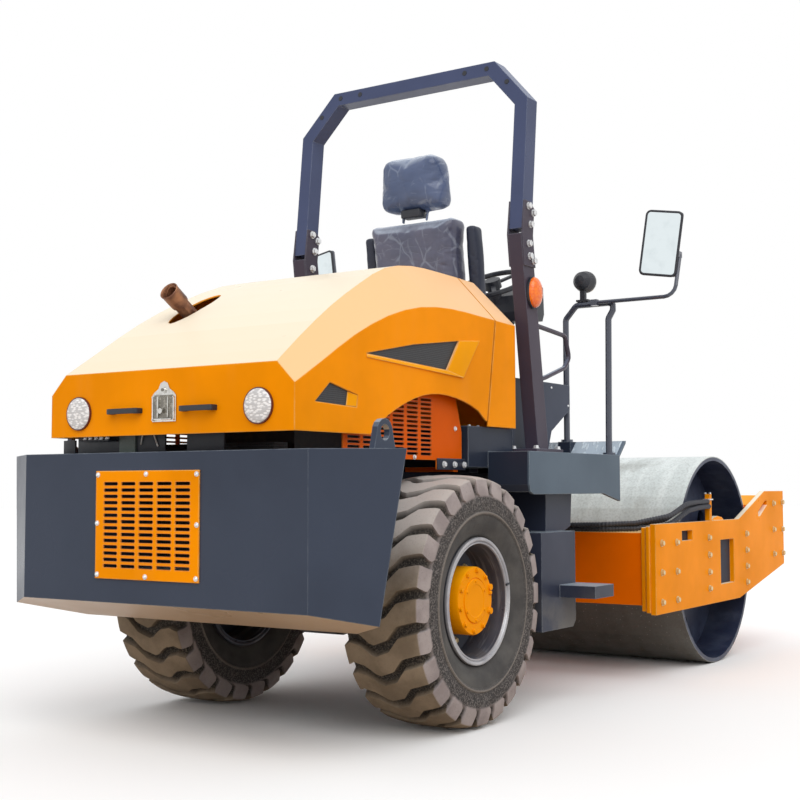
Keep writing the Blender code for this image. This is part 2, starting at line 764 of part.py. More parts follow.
def chassis():
    """The rear frame: two rails on the axle, a front box and the two ears with the kingpin."""
    half = RAIL_THICKNESS / 2.0
    rail_outline = [
        (RAIL_REAR_X, RAIL_BOTTOM_Z),
        (-0.200, RAIL_BOTTOM_Z),
        (-0.140, TYRE_RADIUS + AXLE_RADIUS * 0.9),
        (0.140, TYRE_RADIUS + AXLE_RADIUS * 0.9),
        (0.200, RAIL_BOTTOM_Z),
        (RAIL_FRONT_X - 0.680, RAIL_BOTTOM_Z),
        (RAIL_FRONT_X - 0.480, 0.420),
        (RAIL_FRONT_X, 0.420),
        (RAIL_FRONT_X, RAIL_TOP_Z),
        (RAIL_REAR_X, RAIL_TOP_Z),
    ]
    saddle = cylinder("saddle", "Y", (0.0, 0.0, TYRE_RADIUS), AXLE_RADIUS + SEAT_GAP, -0.45, 0.45)
    obj = prism("chassis", rail_outline, "Y", -RAIL_Y - half, -RAIL_Y + half)
    other = prism("rail", rail_outline, "Y", RAIL_Y - half, RAIL_Y + half)
    front = box("front", (RAIL_FRONT_X - 0.03, RAIL_FRONT_X + 0.01), (-RAIL_Y, RAIL_Y), (0.420, RAIL_TOP_Z - 0.02))
    middle = box("middle", (0.300, 0.340), (-RAIL_Y, RAIL_Y), (0.740, 1.060))
    rear = box("rear", (RADIATOR_X[1] + SEAT_GAP, RADIATOR_X[1] + 0.040), (-RAIL_Y, RAIL_Y), (0.710, 0.800))
    fuse(obj, other, front, middle, rear)
    window = box("window", (RAIL_FRONT_X - 0.1, RAIL_FRONT_X + 0.1), (-RAIL_Y + half, RAIL_Y - half), CYLINDER_WINDOW_Z)
    cut(obj, saddle, window)
    for low in (TONGUE_Z[0] - PIN_GAP - EAR_THICKNESS, TONGUE_Z[1] + PIN_GAP):
        outline = arc((ARTICULATION_X, 0.0), EAR_RADIUS, -90.0, 90.0, 10)
        outline += [(RAIL_FRONT_X, 0.200), (RAIL_FRONT_X, -0.200)]
        fuse(obj, prism("ear", outline, "Z", low, low + EAR_THICKNESS))
    pin = cylinder(
        "kingpin", "Z", (ARTICULATION_X, 0.0, 0.0), KINGPIN_RADIUS, TONGUE_Z[0] - 0.07, TONGUE_Z[1] + 0.07
    )
    fuse(obj, pin)
    x, y = CYLINDER_REAR
    lug_low = CYLINDER_Z - CYLINDER_EYE_HALF_HEIGHT - SEAT_GAP - CYLINDER_EAR_THICKNESS
    lug_high = CYLINDER_Z + CYLINDER_EYE_HALF_HEIGHT + PIN_GAP
    for side in (-1.0, 1.0):
        for low in (lug_low, lug_high):
            lug = box("lug", (x - 0.05, x + 0.05), (side * (y - 0.05), side * (RAIL_Y - 0.01)),
                      (low, low + CYLINDER_EAR_THICKNESS))
            fuse(obj, lug)
        fuse(obj, cylinder("pin", "Z", (x, side * y, 0.0), CYLINDER_PIN_RADIUS, lug_low - 0.010,
                           lug_high + CYLINDER_EAR_THICKNESS + 0.010, segments=16))
    return obj


def cylinder_geometry(side):
    """Both ends of a steering cylinder at rest, and its direction."""
    rear = Vector((CYLINDER_REAR[0], side * CYLINDER_REAR[1], CYLINDER_Z))
    front = Vector((CYLINDER_FRONT[0], side * CYLINDER_FRONT[1], CYLINDER_Z))
    return rear, front, (front - rear).normalized()


def along_matrix(origin, direction):
    """A frame at origin whose Z axis points along direction."""
    return Matrix.Translation(origin) @ direction.to_track_quat("Z", "Y").to_matrix().to_4x4()


def steering_barrel(side):
    """The barrel of a steering cylinder, with the eye on the rear frame's pin."""
    rear, front, direction = cylinder_geometry(side)
    name = side_name("steering_barrel", side)
    half_height = CYLINDER_EYE_HALF_HEIGHT
    eye = cylinder(name, "Z", rear, CYLINDER_EYE_RADIUS, -half_height, half_height)
    bore = CYLINDER_ROD_RADIUS + PIN_GAP
    start = CYLINDER_EYE_RADIUS * 0.8
    end = CYLINDER_BARREL_LENGTH
    profile = [
        (start, 0.0),
        (start, CYLINDER_BARREL_RADIUS),
        (end, CYLINDER_BARREL_RADIUS),
        (end, bore),
        (start + 0.040, bore),
        (start + 0.040, 0.0),
    ]
    body = lathe("barrel", profile, "Z", (0.0, 0.0, 0.0))
    body.data.transform(along_matrix(rear, direction))
    fuse(eye, body)
    cut(eye, cylinder("bore", "Z", rear, CYLINDER_PIN_RADIUS + PIN_GAP, -0.2, 0.2, segments=16))
    return place_along(eye, rear)


def steering_rod(side):
    """The rod of a steering cylinder, with the eye and pin that work in the front frame's ears."""
    rear, front, direction = cylinder_geometry(side)
    length = (front - rear).length
    material = make_material("chromed rod", (0.6, 0.6, 0.6), 0.15, 1.0)
    inside = length - CYLINDER_ROD_LENGTH
    rod = cylinder(side_name("steering_rod", side), "Z", (0.0, 0.0, 0.0), CYLINDER_ROD_RADIUS,
                   inside, length, material)
    rod.data.transform(along_matrix(rear, direction))
    eye = cylinder("eye", "Z", front, CYLINDER_EYE_RADIUS, -CYLINDER_EYE_RADIUS, CYLINDER_EYE_RADIUS)
    fuse(rod, eye)
    return place_along(rod, front)


# Counterweight and radiator grille


def counterweight():
    """The cast counterweight: a block that narrows downwards, with its grille opening and lugs."""
    front = COUNTERWEIGHT_FRONT_X
    top = [
        (TAIL_X, -COUNTERWEIGHT_REAR_HALF),
        (COUNTERWEIGHT_SIDE_X, -COUNTERWEIGHT_SIDE_HALF),
        (front, -COUNTERWEIGHT_FRONT_HALF),
        (front, COUNTERWEIGHT_FRONT_HALF),
        (COUNTERWEIGHT_SIDE_X, COUNTERWEIGHT_SIDE_HALF),
        (TAIL_X, COUNTERWEIGHT_REAR_HALF),
    ]
    side_x, side_half = COUNTERWEIGHT_LOW_SIDE
    bottom = [
        (TAIL_X, -COUNTERWEIGHT_REAR_HALF),
        (side_x, -side_half),
        (front, -COUNTERWEIGHT_LOW_FRONT_HALF),
        (front, COUNTERWEIGHT_LOW_FRONT_HALF),
        (side_x, side_half),
        (TAIL_X, COUNTERWEIGHT_REAR_HALF),
    ]
    bm = bmesh.new()
    upper = [bm.verts.new((x, y, COUNTERWEIGHT_TOP_Z)) for x, y in top]
    lower = [bm.verts.new((x, y, COUNTERWEIGHT_REAR_LOW_Z - COUNTERWEIGHT_SLOPE * (x - TAIL_X))) for x, y in bottom]
    for index in range(len(upper)):
        after = (index + 1) % len(upper)
        bm.faces.new((lower[index], lower[after], upper[after]))
        bm.faces.new((lower[index], upper[after], upper[index]))
    bm.faces.new(upper)
    bm.faces.new(lower)
    obj = finish("counterweight", bm, paint_slate())
    margin = GRILLE_FRAME - 0.012
    half = GRILLE_WIDTH / 2.0 - margin
    opening = box(
        "opening",
        (TAIL_X - 0.05, front + 0.05),
        (GRILLE_Y - half, GRILLE_Y + half),
        (GRILLE_Z[0] + margin, GRILLE_Z[1] - margin),
    )
    cut(obj, opening)
    for x, y in LUG_PLACES:
        fuse(obj, lifting_lug(x, y))
    return obj


def lifting_lug(x, y):
    """A rounded lifting eye with its foot sunk a little into the counterweight."""
    hole_z = COUNTERWEIGHT_TOP_Z + LUG_HOLE_Z
    outline = arc((x, hole_z), LUG_RADIUS * 0.72, 0.0, 180.0, 8)
    outline += [(x - LUG_RADIUS, COUNTERWEIGHT_TOP_Z - 0.01), (x + LUG_RADIUS, COUNTERWEIGHT_TOP_Z - 0.01)]
    lug = prism("lug", outline, "Y", y - LUG_THICKNESS / 2.0, y + LUG_THICKNESS / 2.0)
    hole = cylinder("hole", "Y", (x, y, hole_z), LUG_HOLE_RADIUS, -0.05, 0.05, segments=16)
    return cut(lug, hole)


def radiator_grille():
    """The bolted grille plate in front of the radiator opening, with its rows of slots."""
    half = GRILLE_WIDTH / 2.0
    outer = TAIL_X - SEAT_GAP
    inside = GRILLE_WIDTH - 2.0 * GRILLE_FRAME
    pitch = (inside - GRILLE_SLOT_LENGTH) / (GRILLE_COLUMNS - 1)
    first = GRILLE_Y - half + GRILLE_FRAME
    columns = [(first + pitch * i, first + pitch * i + GRILLE_SLOT_LENGTH) for i in range(GRILLE_COLUMNS)]
    low = GRILLE_Z[0] + GRILLE_FRAME
    rise = (GRILLE_Z[1] - GRILLE_FRAME - low - GRILLE_SLOT_HEIGHT) / (GRILLE_ROWS - 1)
    rows = [(low + rise * i, low + rise * i + GRILLE_SLOT_HEIGHT) for i in range(GRILLE_ROWS)]
    return slotted_sheet("radiator_grille", (GRILLE_Y - half, GRILLE_Y + half), GRILLE_Z, columns, rows,
                         outer - GRILLE_THICKNESS, outer, "X", paint_orange())


def radiator():
    return box("radiator", (RADIATOR_X[0] + SEAT_GAP, RADIATOR_X[1]), (-RADIATOR_HALF_WIDTH, RADIATOR_HALF_WIDTH),
               RADIATOR_Z, black_plastic())


def engine_block():
    """The engine as one plain block, standing between the rails."""
    obj = box("engine_block", ENGINE_X, (-ENGINE_HALF_WIDTH, ENGINE_HALF_WIDTH), ENGINE_Z, black_plastic())
    foot_y = RAIL_Y - RAIL_THICKNESS / 2.0 - SEAT_GAP
    for x in (ENGINE_X[0] + 0.10, ENGINE_X[1] - 0.10):
        fuse(obj, box("mount", (x - 0.04, x + 0.04), (-foot_y, foot_y), (0.860, 0.930)))
    return obj


# Hood and cowl


def hood_value(x, column):
    """A column of the hood table at any place along the machine."""
    return smooth_row(HOOD_SECTIONS, x)[column]


def seam_x(z, offset=0.0):
    """Where the seam between hood and cowl lies at a height."""
    return SEAM_LOW[0] + SEAM_LEAN * (z - SEAM_LOW[1]) + offset


def cover_section(x, inset, bottom):
    """One cross-section of the cover: sides, sloped strips and flat top, as (y, z) points."""
    shoulder = hood_value(x, 1)
    strip = hood_value(x, 2)
    side = HOOD_HALF_WIDTH - inset
    slope_inset = inset * math.tan(math.radians(22.5))
    low = shoulder - slope_inset
    top = shoulder + strip - inset
    top_half = HOOD_HALF_WIDTH - strip - slope_inset
    return [(-side, bottom), (-side, low), (-top_half, top), (top_half, top), (side, low), (side, bottom)]


def cover_solid(name, places, inset, bottom, offset_at=None):
    """Loft a closed solid through the cover's sections at the given places along X."""
    bm = bmesh.new()
    rings = []
    for number, x in enumerate(places):
        section = cover_section(x, inset, bottom)
        ring = []
        for y, z in section:
            place = x
            if offset_at and number in offset_at:
                place = seam_x(z, offset_at[number])
            ring.append(bm.verts.new((place, y, z)))
        rings.append(ring)
    for here, there in zip(rings, rings[1:]):
        for index in range(len(here)):
            after = (index + 1) % len(here)
            bm.faces.new((here[index], here[after], there[after], there[index]))
    bm.faces.new(rings[0])
    bm.faces.new(rings[-1])
    return finish(name, bm, paint_orange())


def arch_cutter():
    """The opening over the wheel in both lower edges of the hood."""
    rows = ARCH_TABLE[1:-2]
    steps = 14
    first, last = rows[0][0], rows[-1][0]
    curve = [tuple(smooth_row(rows, first + (last - first) * step / steps)) for step in range(steps + 1)]
    return prism("arch", [ARCH_TABLE[0]] + curve + list(ARCH_TABLE[-2:]), "Y", -1.0, 1.0)


def hood_shell():
    """The tilting engine hood, a shell open below and in front, with its windows and hinge arms."""
    knots = [row[0] for row in HOOD_SECTIONS[:-1]]
    places = []
    for low, high in zip(knots, knots[1:]):
        places += [low, (low + high) / 2.0]
    places += [knots[-1], 0.44]
    last = len(places) - 1
    obj = cover_solid("hood_shell", places, 0.0, HOOD_BOTTOM_Z, {last: 0.0})
    inner_places = [places[0] + HOOD_WALL] + places[1:]
    inner = cover_solid("inner", inner_places, HOOD_WALL, HOOD_BOTTOM_Z - 0.1, {last: 0.2})
    cut(obj, inner, arch_cutter(), pipe_slot())
    for window in (HOOD_WINDOW, HOOD_WINDOW_SMALL):
        cut(obj, prism("window", window, "Y", -1.0, 1.0))
    for side in (-1.0, 1.0):
        fuse(obj, hinge_arm(side))
    return place_along(obj, (HOOD_HINGE[0], 0.0, HOOD_HINGE[1]))


def hood_mesh(side):
    """The dark mesh sheet behind the two windows in one side of the hood."""
    outer = HOOD_HALF_WIDTH - HOOD_WALL - SEAT_GAP
    low, high = sorted((side * outer, side * (outer - HOOD_MESH_THICKNESS)))
    return prism(side_name("hood_mesh", side), HOOD_MESH, "Y", low, high, black_plastic())


def pipe_slot():
    """The lens-shaped slot in the hood's top through which the exhaust pipe comes."""
    middle = (PIPE_SLOT_X[0] + PIPE_SLOT_X[1]) / 2.0
    half = (PIPE_SLOT_X[1] - PIPE_SLOT_X[0]) / 2.0
    points = []
    for step in range(20):
        angle = math.tau * step / 20
        points.append((middle + half * math.cos(angle), EXHAUST_Y + PIPE_SLOT_HALF_WIDTH * math.sin(angle)))
    return prism("slot", points, "Z", 1.55, 2.2)


def hinge_arm(side):
    """A bent arm from under the hood's top to the hinge shaft beneath the cowl."""
    inner_top = hood_value(0.3, 1) + hood_value(0.3, 2) - HOOD_WALL
    eye = 0.026
    outline = [
        (0.180, inner_top + 0.003),
        (0.180, inner_top - 0.030),
        (0.330, inner_top - 0.060),
        (HOOD_HINGE[0], HOOD_HINGE[1] - eye),
        (HOOD_HINGE[0] + eye, HOOD_HINGE[1] - 0.01),
        (HOOD_HINGE[0] + eye, HOOD_HINGE[1] + 0.01),
        (HOOD_HINGE[0], HOOD_HINGE[1] + eye),
        (0.330, inner_top - 0.016),
        (0.300, inner_top + 0.003),
    ]
    low = side * HINGE_ARM_Y - HINGE_ARM_WIDTH / 2.0
    arm = prism("arm", outline, "Y", low, low + HINGE_ARM_WIDTH)
    bore = cylinder("bore", "Y", (HOOD_HINGE[0], side * HINGE_ARM_Y, HOOD_HINGE[1]),
                    HINGE_SHAFT_RADIUS + PIN_GAP, -0.05, 0.05, segments=16)
    return cut(arm, bore)


def hood_latch():
    """The paddle latch in the middle of the hood's rear face."""
    outer = HOOD_SECTIONS[0][0] - SEAT_GAP
    depth, height, width = LATCH_SIZE
    half = width / 2.0
    outline = [
        (-half, LATCH_Z - height / 2.0),
        (half, LATCH_Z - height / 2.0),
        (half, LATCH_Z + height * 0.25),
        (half * 0.5, LATCH_Z + height * 0.35),
        (0.0, LATCH_Z + height * 0.62),
        (-half * 0.5, LATCH_Z + height * 0.35),
        (-half, LATCH_Z + height * 0.25),
    ]
    chrome = make_material("chrome", (0.7, 0.7, 0.7), 0.12, 1.0)
    return prism("hood_latch", outline, "X", outer - depth, outer, chrome)


def tail_lamp(side):
    """A round tail lamp: a ring on the hood's rear face with the domed lens set in it."""
    outer = HOOD_SECTIONS[0][0] - SEAT_GAP
    radius = LAMP_RADIUS
    profile = [(0.0, 0.0), (0.0, radius), (-0.018, radius), (-0.021, radius * 0.96), (-0.018, radius * 0.86),
               (-0.012, radius * 0.84), (-0.022, radius * 0.60), (-0.026, 0.0)]
    material = make_material("lamp lens", LENS, 0.1)
    return lathe(side_name("tail_lamp", side), profile, "X", (outer, side * LAMP_Y, LAMP_Z), material)


def hood_handles():
    """Two bridge handles on the hood's rear face, each on its own object."""
    handles = []
    outer = HOOD_SECTIONS[0][0] - SEAT_GAP
    half = HANDLE_LENGTH / 2.0
    for name, y in zip(("hood_handle_left", "hood_handle_right"), HANDLE_Y):
        outline = [
            (outer, y - half), (outer, y - half + 0.03), (outer - 0.022, y - half + 0.04),
            (outer - 0.022, y + half - 0.04), (outer, y + half - 0.03), (outer, y + half),
            (outer - 0.034, y + half - 0.012), (outer - 0.034, y - half + 0.012),
        ]
        handles.append(prism(name, outline, "Z", HANDLE_Z - 0.011, HANDLE_Z + 0.011, black_plastic()))
    return handles


def cowl():
    """The fixed cowl between hood and seat, with its front wall and the hood's hinge shaft."""
    places = [0.46, HOOD_SECTIONS[-1][0]]
    obj = cover_solid("cowl", places, 0.0, COWL_BOTTOM_Z, {0: SEAM_GAP})
    wall_x = HOOD_SECTIONS[-1][0] - HOOD_WALL
    inner = cover_solid("inner", [0.46, wall_x], HOOD_WALL, COWL_BOTTOM_Z - 0.1, {0: -0.2})
    cut(obj, inner)
    web_half = HINGE_ARM_Y + HINGE_ARM_WIDTH / 2.0 + 0.01
    x, z = HOOD_HINGE
    shaft = cylinder("shaft", "Y", (x, 0.0, z), HINGE_SHAFT_RADIUS, -web_half - 0.02, web_half + 0.02, segments=16)
    fuse(obj, shaft)
    outline = arc((x, z), 0.028, 60.0, 240.0, 6)
    outline += [(x + 0.010, z - 0.075), (wall_x + 0.005, z - 0.140), (wall_x + 0.005, z - 0.075), (x + 0.028, z - 0.034)]
    for side in (-1.0, 1.0):
        low, high = sorted((side * (web_half + 0.008), side * (web_half + 0.016)))
        fuse(obj, prism("web", outline, "Y", low, high))
    return obj


def side_panel(side):
    """The fixed panel under the hood's edge: a slotted sheet, a plain one and its bolted foot."""
    name = side_name("side_panel", side)
    low, high = sorted((side * SIDE_PANEL_Y, side * (SIDE_PANEL_Y - SIDE_PANEL_THICKNESS)))
    start_x, start_z = PANEL_SLOT_START
    columns = [(start_x + PANEL_SLOT_PITCH * i, start_x + PANEL_SLOT_PITCH * i + PANEL_SLOT_LENGTH)
               for i in range(PANEL_SLOT_COLUMNS)]
    rows = [(start_z + PANEL_SLOT_RISE * i, start_z + PANEL_SLOT_RISE * i + PANEL_SLOT_HEIGHT)
            for i in range(PANEL_SLOT_ROWS)]
    obj = slotted_sheet(name, (SIDE_PANEL_X[0], SIDE_PANEL_SPLIT_X), (SIDE_PANEL_LOW_Z, SIDE_PANEL_TOP_Z),
                        columns, rows, low, high, "Y", paint_orange())
    plain = [
        (SIDE_PANEL_SPLIT_X - 0.010, SIDE_PANEL_PLAIN_LOW_Z), (SIDE_PANEL_X[1], SIDE_PANEL_PLAIN_LOW_Z),
        (SIDE_PANEL_X[1], 1.270), (SIDE_PANEL_SPLIT_X + 0.150, SIDE_PANEL_TOP_Z), (SIDE_PANEL_SPLIT_X - 0.010, SIDE_PANEL_TOP_Z),
    ]
    fuse(obj, prism("plain", plain, "Y", low, high))
    foot_low, foot_high = sorted((side * (RAIL_Y - 0.02), side * (SIDE_PANEL_Y - 0.003)))
    for x, top in ((SIDE_PANEL_X[0] + 0.05, SIDE_PANEL_LOW_Z), (SIDE_PANEL_X[1] - 0.05, SIDE_PANEL_PLAIN_LOW_Z)):
        fuse(obj, box("foot", (x - 0.02, x + 0.02), (foot_low, foot_high), (RAIL_TOP_Z + SEAT_GAP, top + 0.012)))
    return obj


def exhaust_pipe():
    """The tailpipe: up from the engine through the hood's slot, bent back, with a cut open end."""
    y = EXHAUST_Y
    corners = [(-0.470, 0.200, ENGINE_Z[1] + SEAT_GAP), (-0.470, 0.200, 1.600), (-0.535, y, 1.758),
               (EXHAUST_END_X - 0.060, y, 1.900)]
    material = make_material("exhaust steel", (0.30, 0.22, 0.16), 0.4, 0.9)
    obj = tube("exhaust_pipe", bend(corners, 0.060, 4), EXHAUST_RADIUS, material, 3)
    cut(obj, box("mitre", (EXHAUST_END_X - 0.2, EXHAUST_END_X), (y - 0.1, y + 0.1), (1.7, 2.1)))
    end = Vector(corners[3])
    back = (Vector(corners[2]) - end).normalized()
    bore = tube("bore", [end - back * 0.1, end + back * 0.150], EXHAUST_RADIUS - EXHAUST_WALL, None, 3)
    return cut(obj, bore)


# Platform, tanks and steps


def platform():
    """The operator's platform: a deck with folded skirts, toe board and the box under the cowl."""
    deck_low = PLATFORM_TOP_Z - PLATFORM_WALL
    x_low, x_high = PLATFORM_X
    half = PLATFORM_HALF_WIDTH
    skirt = [
        (x_low, PLATFORM_TOP_Z), (x_low, SKIRT_LOW_Z + 0.045), (x_low + 0.012, SKIRT_LOW_Z + 0.012),
        (x_low + 0.045, SKIRT_LOW_Z), (SKIRT_FLARE_X, SKIRT_LOW_Z), (x_high, SKIRT_FLARE_Z), (x_high, PLATFORM_TOP_Z),
    ]
    obj = prism("platform", skirt, "Y", -half, half)
    hollow = box("hollow", (x_low + PLATFORM_WALL, x_high + 0.1), (-half + PLATFORM_WALL, half - PLATFORM_WALL),
                 (SKIRT_FLARE_Z - 0.1, deck_low))
    cut(obj, hollow)
    rear_window = box("window", (x_low - 0.1, x_low + 0.1), (-0.62, 0.62), (SKIRT_FLARE_Z - 0.1, COWL_BOX_LOW_Z))
    cut(obj, rear_window)
    toe_x, toe_z = TOE_BOARD_FRONT
    toe = [
        (x_high - 0.003, PLATFORM_TOP_Z), (toe_x, toe_z), (toe_x, toe_z - TOE_BOARD_THICKNESS),
        (x_high - 0.003, PLATFORM_TOP_Z - TOE_BOARD_THICKNESS),
    ]
    fuse(obj, prism("toe", toe, "Y", -half, half))
    pad_x, pad_y = HANDRAIL_INNER
    for side in (-1.0, 1.0):
        pad = [(pad_x - 0.020, PLATFORM_TOP_Z + 0.010), (toe_x - 0.002, toe_z - 0.004), (toe_x - 0.002, toe_z),
               (pad_x - HANDRAIL_PAD_HALF, toe_z), (pad_x - HANDRAIL_PAD_HALF, PLATFORM_TOP_Z + 0.004)]
        low, high = sorted((side * (pad_y - HANDRAIL_PAD_HALF), side * (pad_y + HANDRAIL_PAD_HALF)))
        fuse(obj, prism("pad", pad, "Y", low, high))
    riser = box("riser", COWL_BOX_X, (-COWL_BOX_HALF_WIDTH, COWL_BOX_HALF_WIDTH),
                (COWL_BOX_LOW_Z, COWL_BOTTOM_Z - SEAT_GAP))
    fuse(obj, riser)
    cross_half = RAIL_Y + 0.08
    for x in CROSS_MEMBER_X:
        member = box("member", (x - CROSS_MEMBER_DEPTH / 2, x + CROSS_MEMBER_DEPTH / 2), (-cross_half, cross_half),
                     (RAIL_TOP_Z + SEAT_GAP, deck_low + 0.002))
        fuse(obj, member)
    return obj


def side_tank(side):
    """A side tank under the platform, with its neck and the boarding step."""
    name = side_name("side_tank", side)
    low, high = sorted((side * TANK_INNER_Y, side * TANK_OUTER_Y))
    chamfer = TANK_CHAMFER
    outline = [
        (TANK_X[0], TANK_Z[0]), (TANK_X[1] - chamfer, TANK_Z[0]), (TANK_X[1], TANK_Z[0] + chamfer),
        (TANK_X[1], TANK_Z[1]), (TANK_X[0], TANK_Z[1]),
    ]
    obj = prism(name, outline, "Y", low, high)
    neck_outline = [
        (TANK_NECK_X[0], TANK_Z[1] - 0.01), (TANK_X[1], TANK_Z[1] - 0.01), (TANK_NECK_X[1] - 0.03, TANK_Z[1] + 0.02),
        (TANK_NECK_X[1], deck_underside()), (TANK_NECK_X[0], deck_underside()),
    ]
    neck_low, neck_high = sorted((side * (TANK_INNER_Y + 0.05), side * TANK_NECK_OUTER_Y))
    fuse(obj, prism("neck", neck_outline, "Y", neck_low, neck_high))
    step_low, step_high = sorted((side * (TANK_OUTER_Y - 0.01), side * STEP_OUTER_Y))
    step = box("step", STEP_X, (step_low, step_high), STEP_Z)
    pocket_low, pocket_high = sorted((side * (TANK_OUTER_Y + 0.006), side * (STEP_OUTER_Y - 0.006)))
    pocket = box("pocket", (STEP_X[0] + 0.006, STEP_X[1] - 0.006), (pocket_low, pocket_high),
                 (STEP_Z[0] - 0.01, STEP_Z[1] - 0.006))
    cut(step, pocket)
    fuse(obj, step)
    return obj


def deck_underside():
    """The height just under the deck, where what carries it stops."""
    return PLATFORM_TOP_Z - PLATFORM_WALL - SEAT_GAP


# Roll-over frame


def rops_post(side):
    """A roll-over post that leans back, with its foot plate, joint plates and grab handle."""
    name = side_name("rops_post", side)
    low, high = sorted((side * POST_Y[0], side * POST_Y[1]))
    foot_z = PLATFORM_TOP_Z + SEAT_GAP
    foot_top = foot_z + FOOT_PLATE_THICKNESS
    outline = [
        (POST_FOOT[0], foot_top - 0.005), (POST_FOOT[0] + POST_DEPTH, foot_top - 0.005),
        (POST_TOP[0] + POST_DEPTH, POST_TOP[1]), POST_TOP,
    ]
    obj = prism(name, outline, "Y", low, high)
    plate_low, plate_high = sorted((side * FOOT_PLATE_Y[0], side * FOOT_PLATE_Y[1]))
    fuse(obj, box("foot", FOOT_PLATE_X, (plate_low, plate_high), (foot_z, foot_top)))
    lean = (POST_TOP[0] - POST_FOOT[0]) / (POST_TOP[1] - POST_FOOT[1])
    plate_z0, plate_z1 = JOINT_PLATE_Z
    rear_low = POST_FOOT[0] + lean * (plate_z0 - POST_FOOT[1])
    rear_high = HOOP_LOW[0] + HOOP_LEAN * (plate_z1 - HOOP_LOW[1])
    plate = [
        (rear_low, plate_z0), (rear_low + POST_DEPTH, plate_z0), (POST_TOP[0] + POST_DEPTH, POST_TOP[1]),
        (rear_high + HOOP_DEPTH, plate_z1 - 0.03), (rear_high + HOOP_DEPTH * 0.6, plate_z1), (rear_high, plate_z1),
        (POST_TOP[0] + 0.003, POST_TOP[1]),
    ]
    thickness = JOINT_PLATE_THICKNESS
    outer = sorted((side * (POST_Y[1] + SEAT_GAP), side * (POST_Y[1] + thickness)))
    inner = sorted((side * (POST_Y[0] - thickness), side * (POST_Y[0] - SEAT_GAP)))
    for start, end in (outer, inner):
        fuse(obj, prism("plate", plate, "Y", start, end))
    for z in (plate_z0 + 0.05, plate_z0 + 0.11):
        centre = (POST_FOOT[0] + lean * (z - POST_FOOT[1]) + POST_DEPTH / 2.0, 0.0, z)
        reach = POST_Y[1] + thickness + 0.010
        start, end = sorted((side * (POST_Y[0] - thickness - 0.010), side * reach))
        fuse(obj, cylinder("bolt", "Y", centre, 0.014, start, end, segments=6))
    grab_y = side * (POST_Y[0] + POST_Y[1]) / 2.0
    start_x = POST_FOOT[0] + lean * (GRAB_TOP_Z - POST_FOOT[1]) + POST_DEPTH - 0.02
    end_x = POST_FOOT[0] + lean * (GRAB_LOW_Z - POST_FOOT[1]) + POST_DEPTH - 0.02
    bends = [(x, grab_y, z) for x, z in GRAB_BENDS]
    path = bend([(start_x, grab_y, GRAB_TOP_Z)] + bends + [(end_x, grab_y, GRAB_LOW_Z)], 0.030, 2)
    fuse(obj, tube("grab", path, GRAB_RADIUS))
    return obj


def rops_hoop():
    """The upper hoop of the roll-over frame, from one joint over the seat to the other."""
    half = POST_Y[1]
    width = POST_Y[1] - POST_Y[0]
    low = HOOP_LOW[1]
    outer = [
        (-half, low), (-half, HOOP_SHOULDER_Z), (-HOOP_TOP_HALF_WIDTH, HOOP_TOP_Z),
        (HOOP_TOP_HALF_WIDTH, HOOP_TOP_Z), (half, HOOP_SHOULDER_Z), (half, low),
    ]
    slope = math.atan2(HOOP_TOP_Z - HOOP_SHOULDER_Z, half - HOOP_TOP_HALF_WIDTH)
    shoulder_drop = width * math.tan((math.pi / 2.0 - slope) / 2.0)
    top_drop = width * math.tan(slope / 2.0)
    inner = [
        (half - width, low), (half - width, HOOP_SHOULDER_Z - shoulder_drop),
        (HOOP_TOP_HALF_WIDTH - top_drop, HOOP_TOP_Z - width), (-HOOP_TOP_HALF_WIDTH + top_drop, HOOP_TOP_Z - width),
        (-half + width, HOOP_SHOULDER_Z - shoulder_drop), (-half + width, low),
    ]
    obj = prism("rops_hoop", outer + inner, "X", 0.0, HOOP_DEPTH)
    for vertex in obj.data.vertices:
        vertex.co.x += HOOP_LOW[0] + HOOP_LEAN * (vertex.co.z - low)
    return obj


def indicator(side):
    """An amber direction indicator on the outer side of a post."""
    length, height, depth = INDICATOR_SIZE
    base = POST_Y[1] + SEAT_GAP
    profile = [(0.0, 0.0), (0.0, 1.0), (depth * 0.4, 1.0), (depth * 0.85, 0.6), (depth, 0.0)]
    profile = [(side * along, radius) for along, radius in profile]
    material = make_material("amber lens", AMBER, 0.2)
    obj = lathe(side_name("indicator", side), profile, "Y", (0.0, 0.0, 0.0), material)
    scale = Matrix.Diagonal((length, 1.0, height, 1.0))
    place = Matrix.Translation((INDICATOR_X - 0.018, side * base, INDICATOR_Z))
    obj.data.transform(place @ scale)
    return obj


# Operator's seat and steering


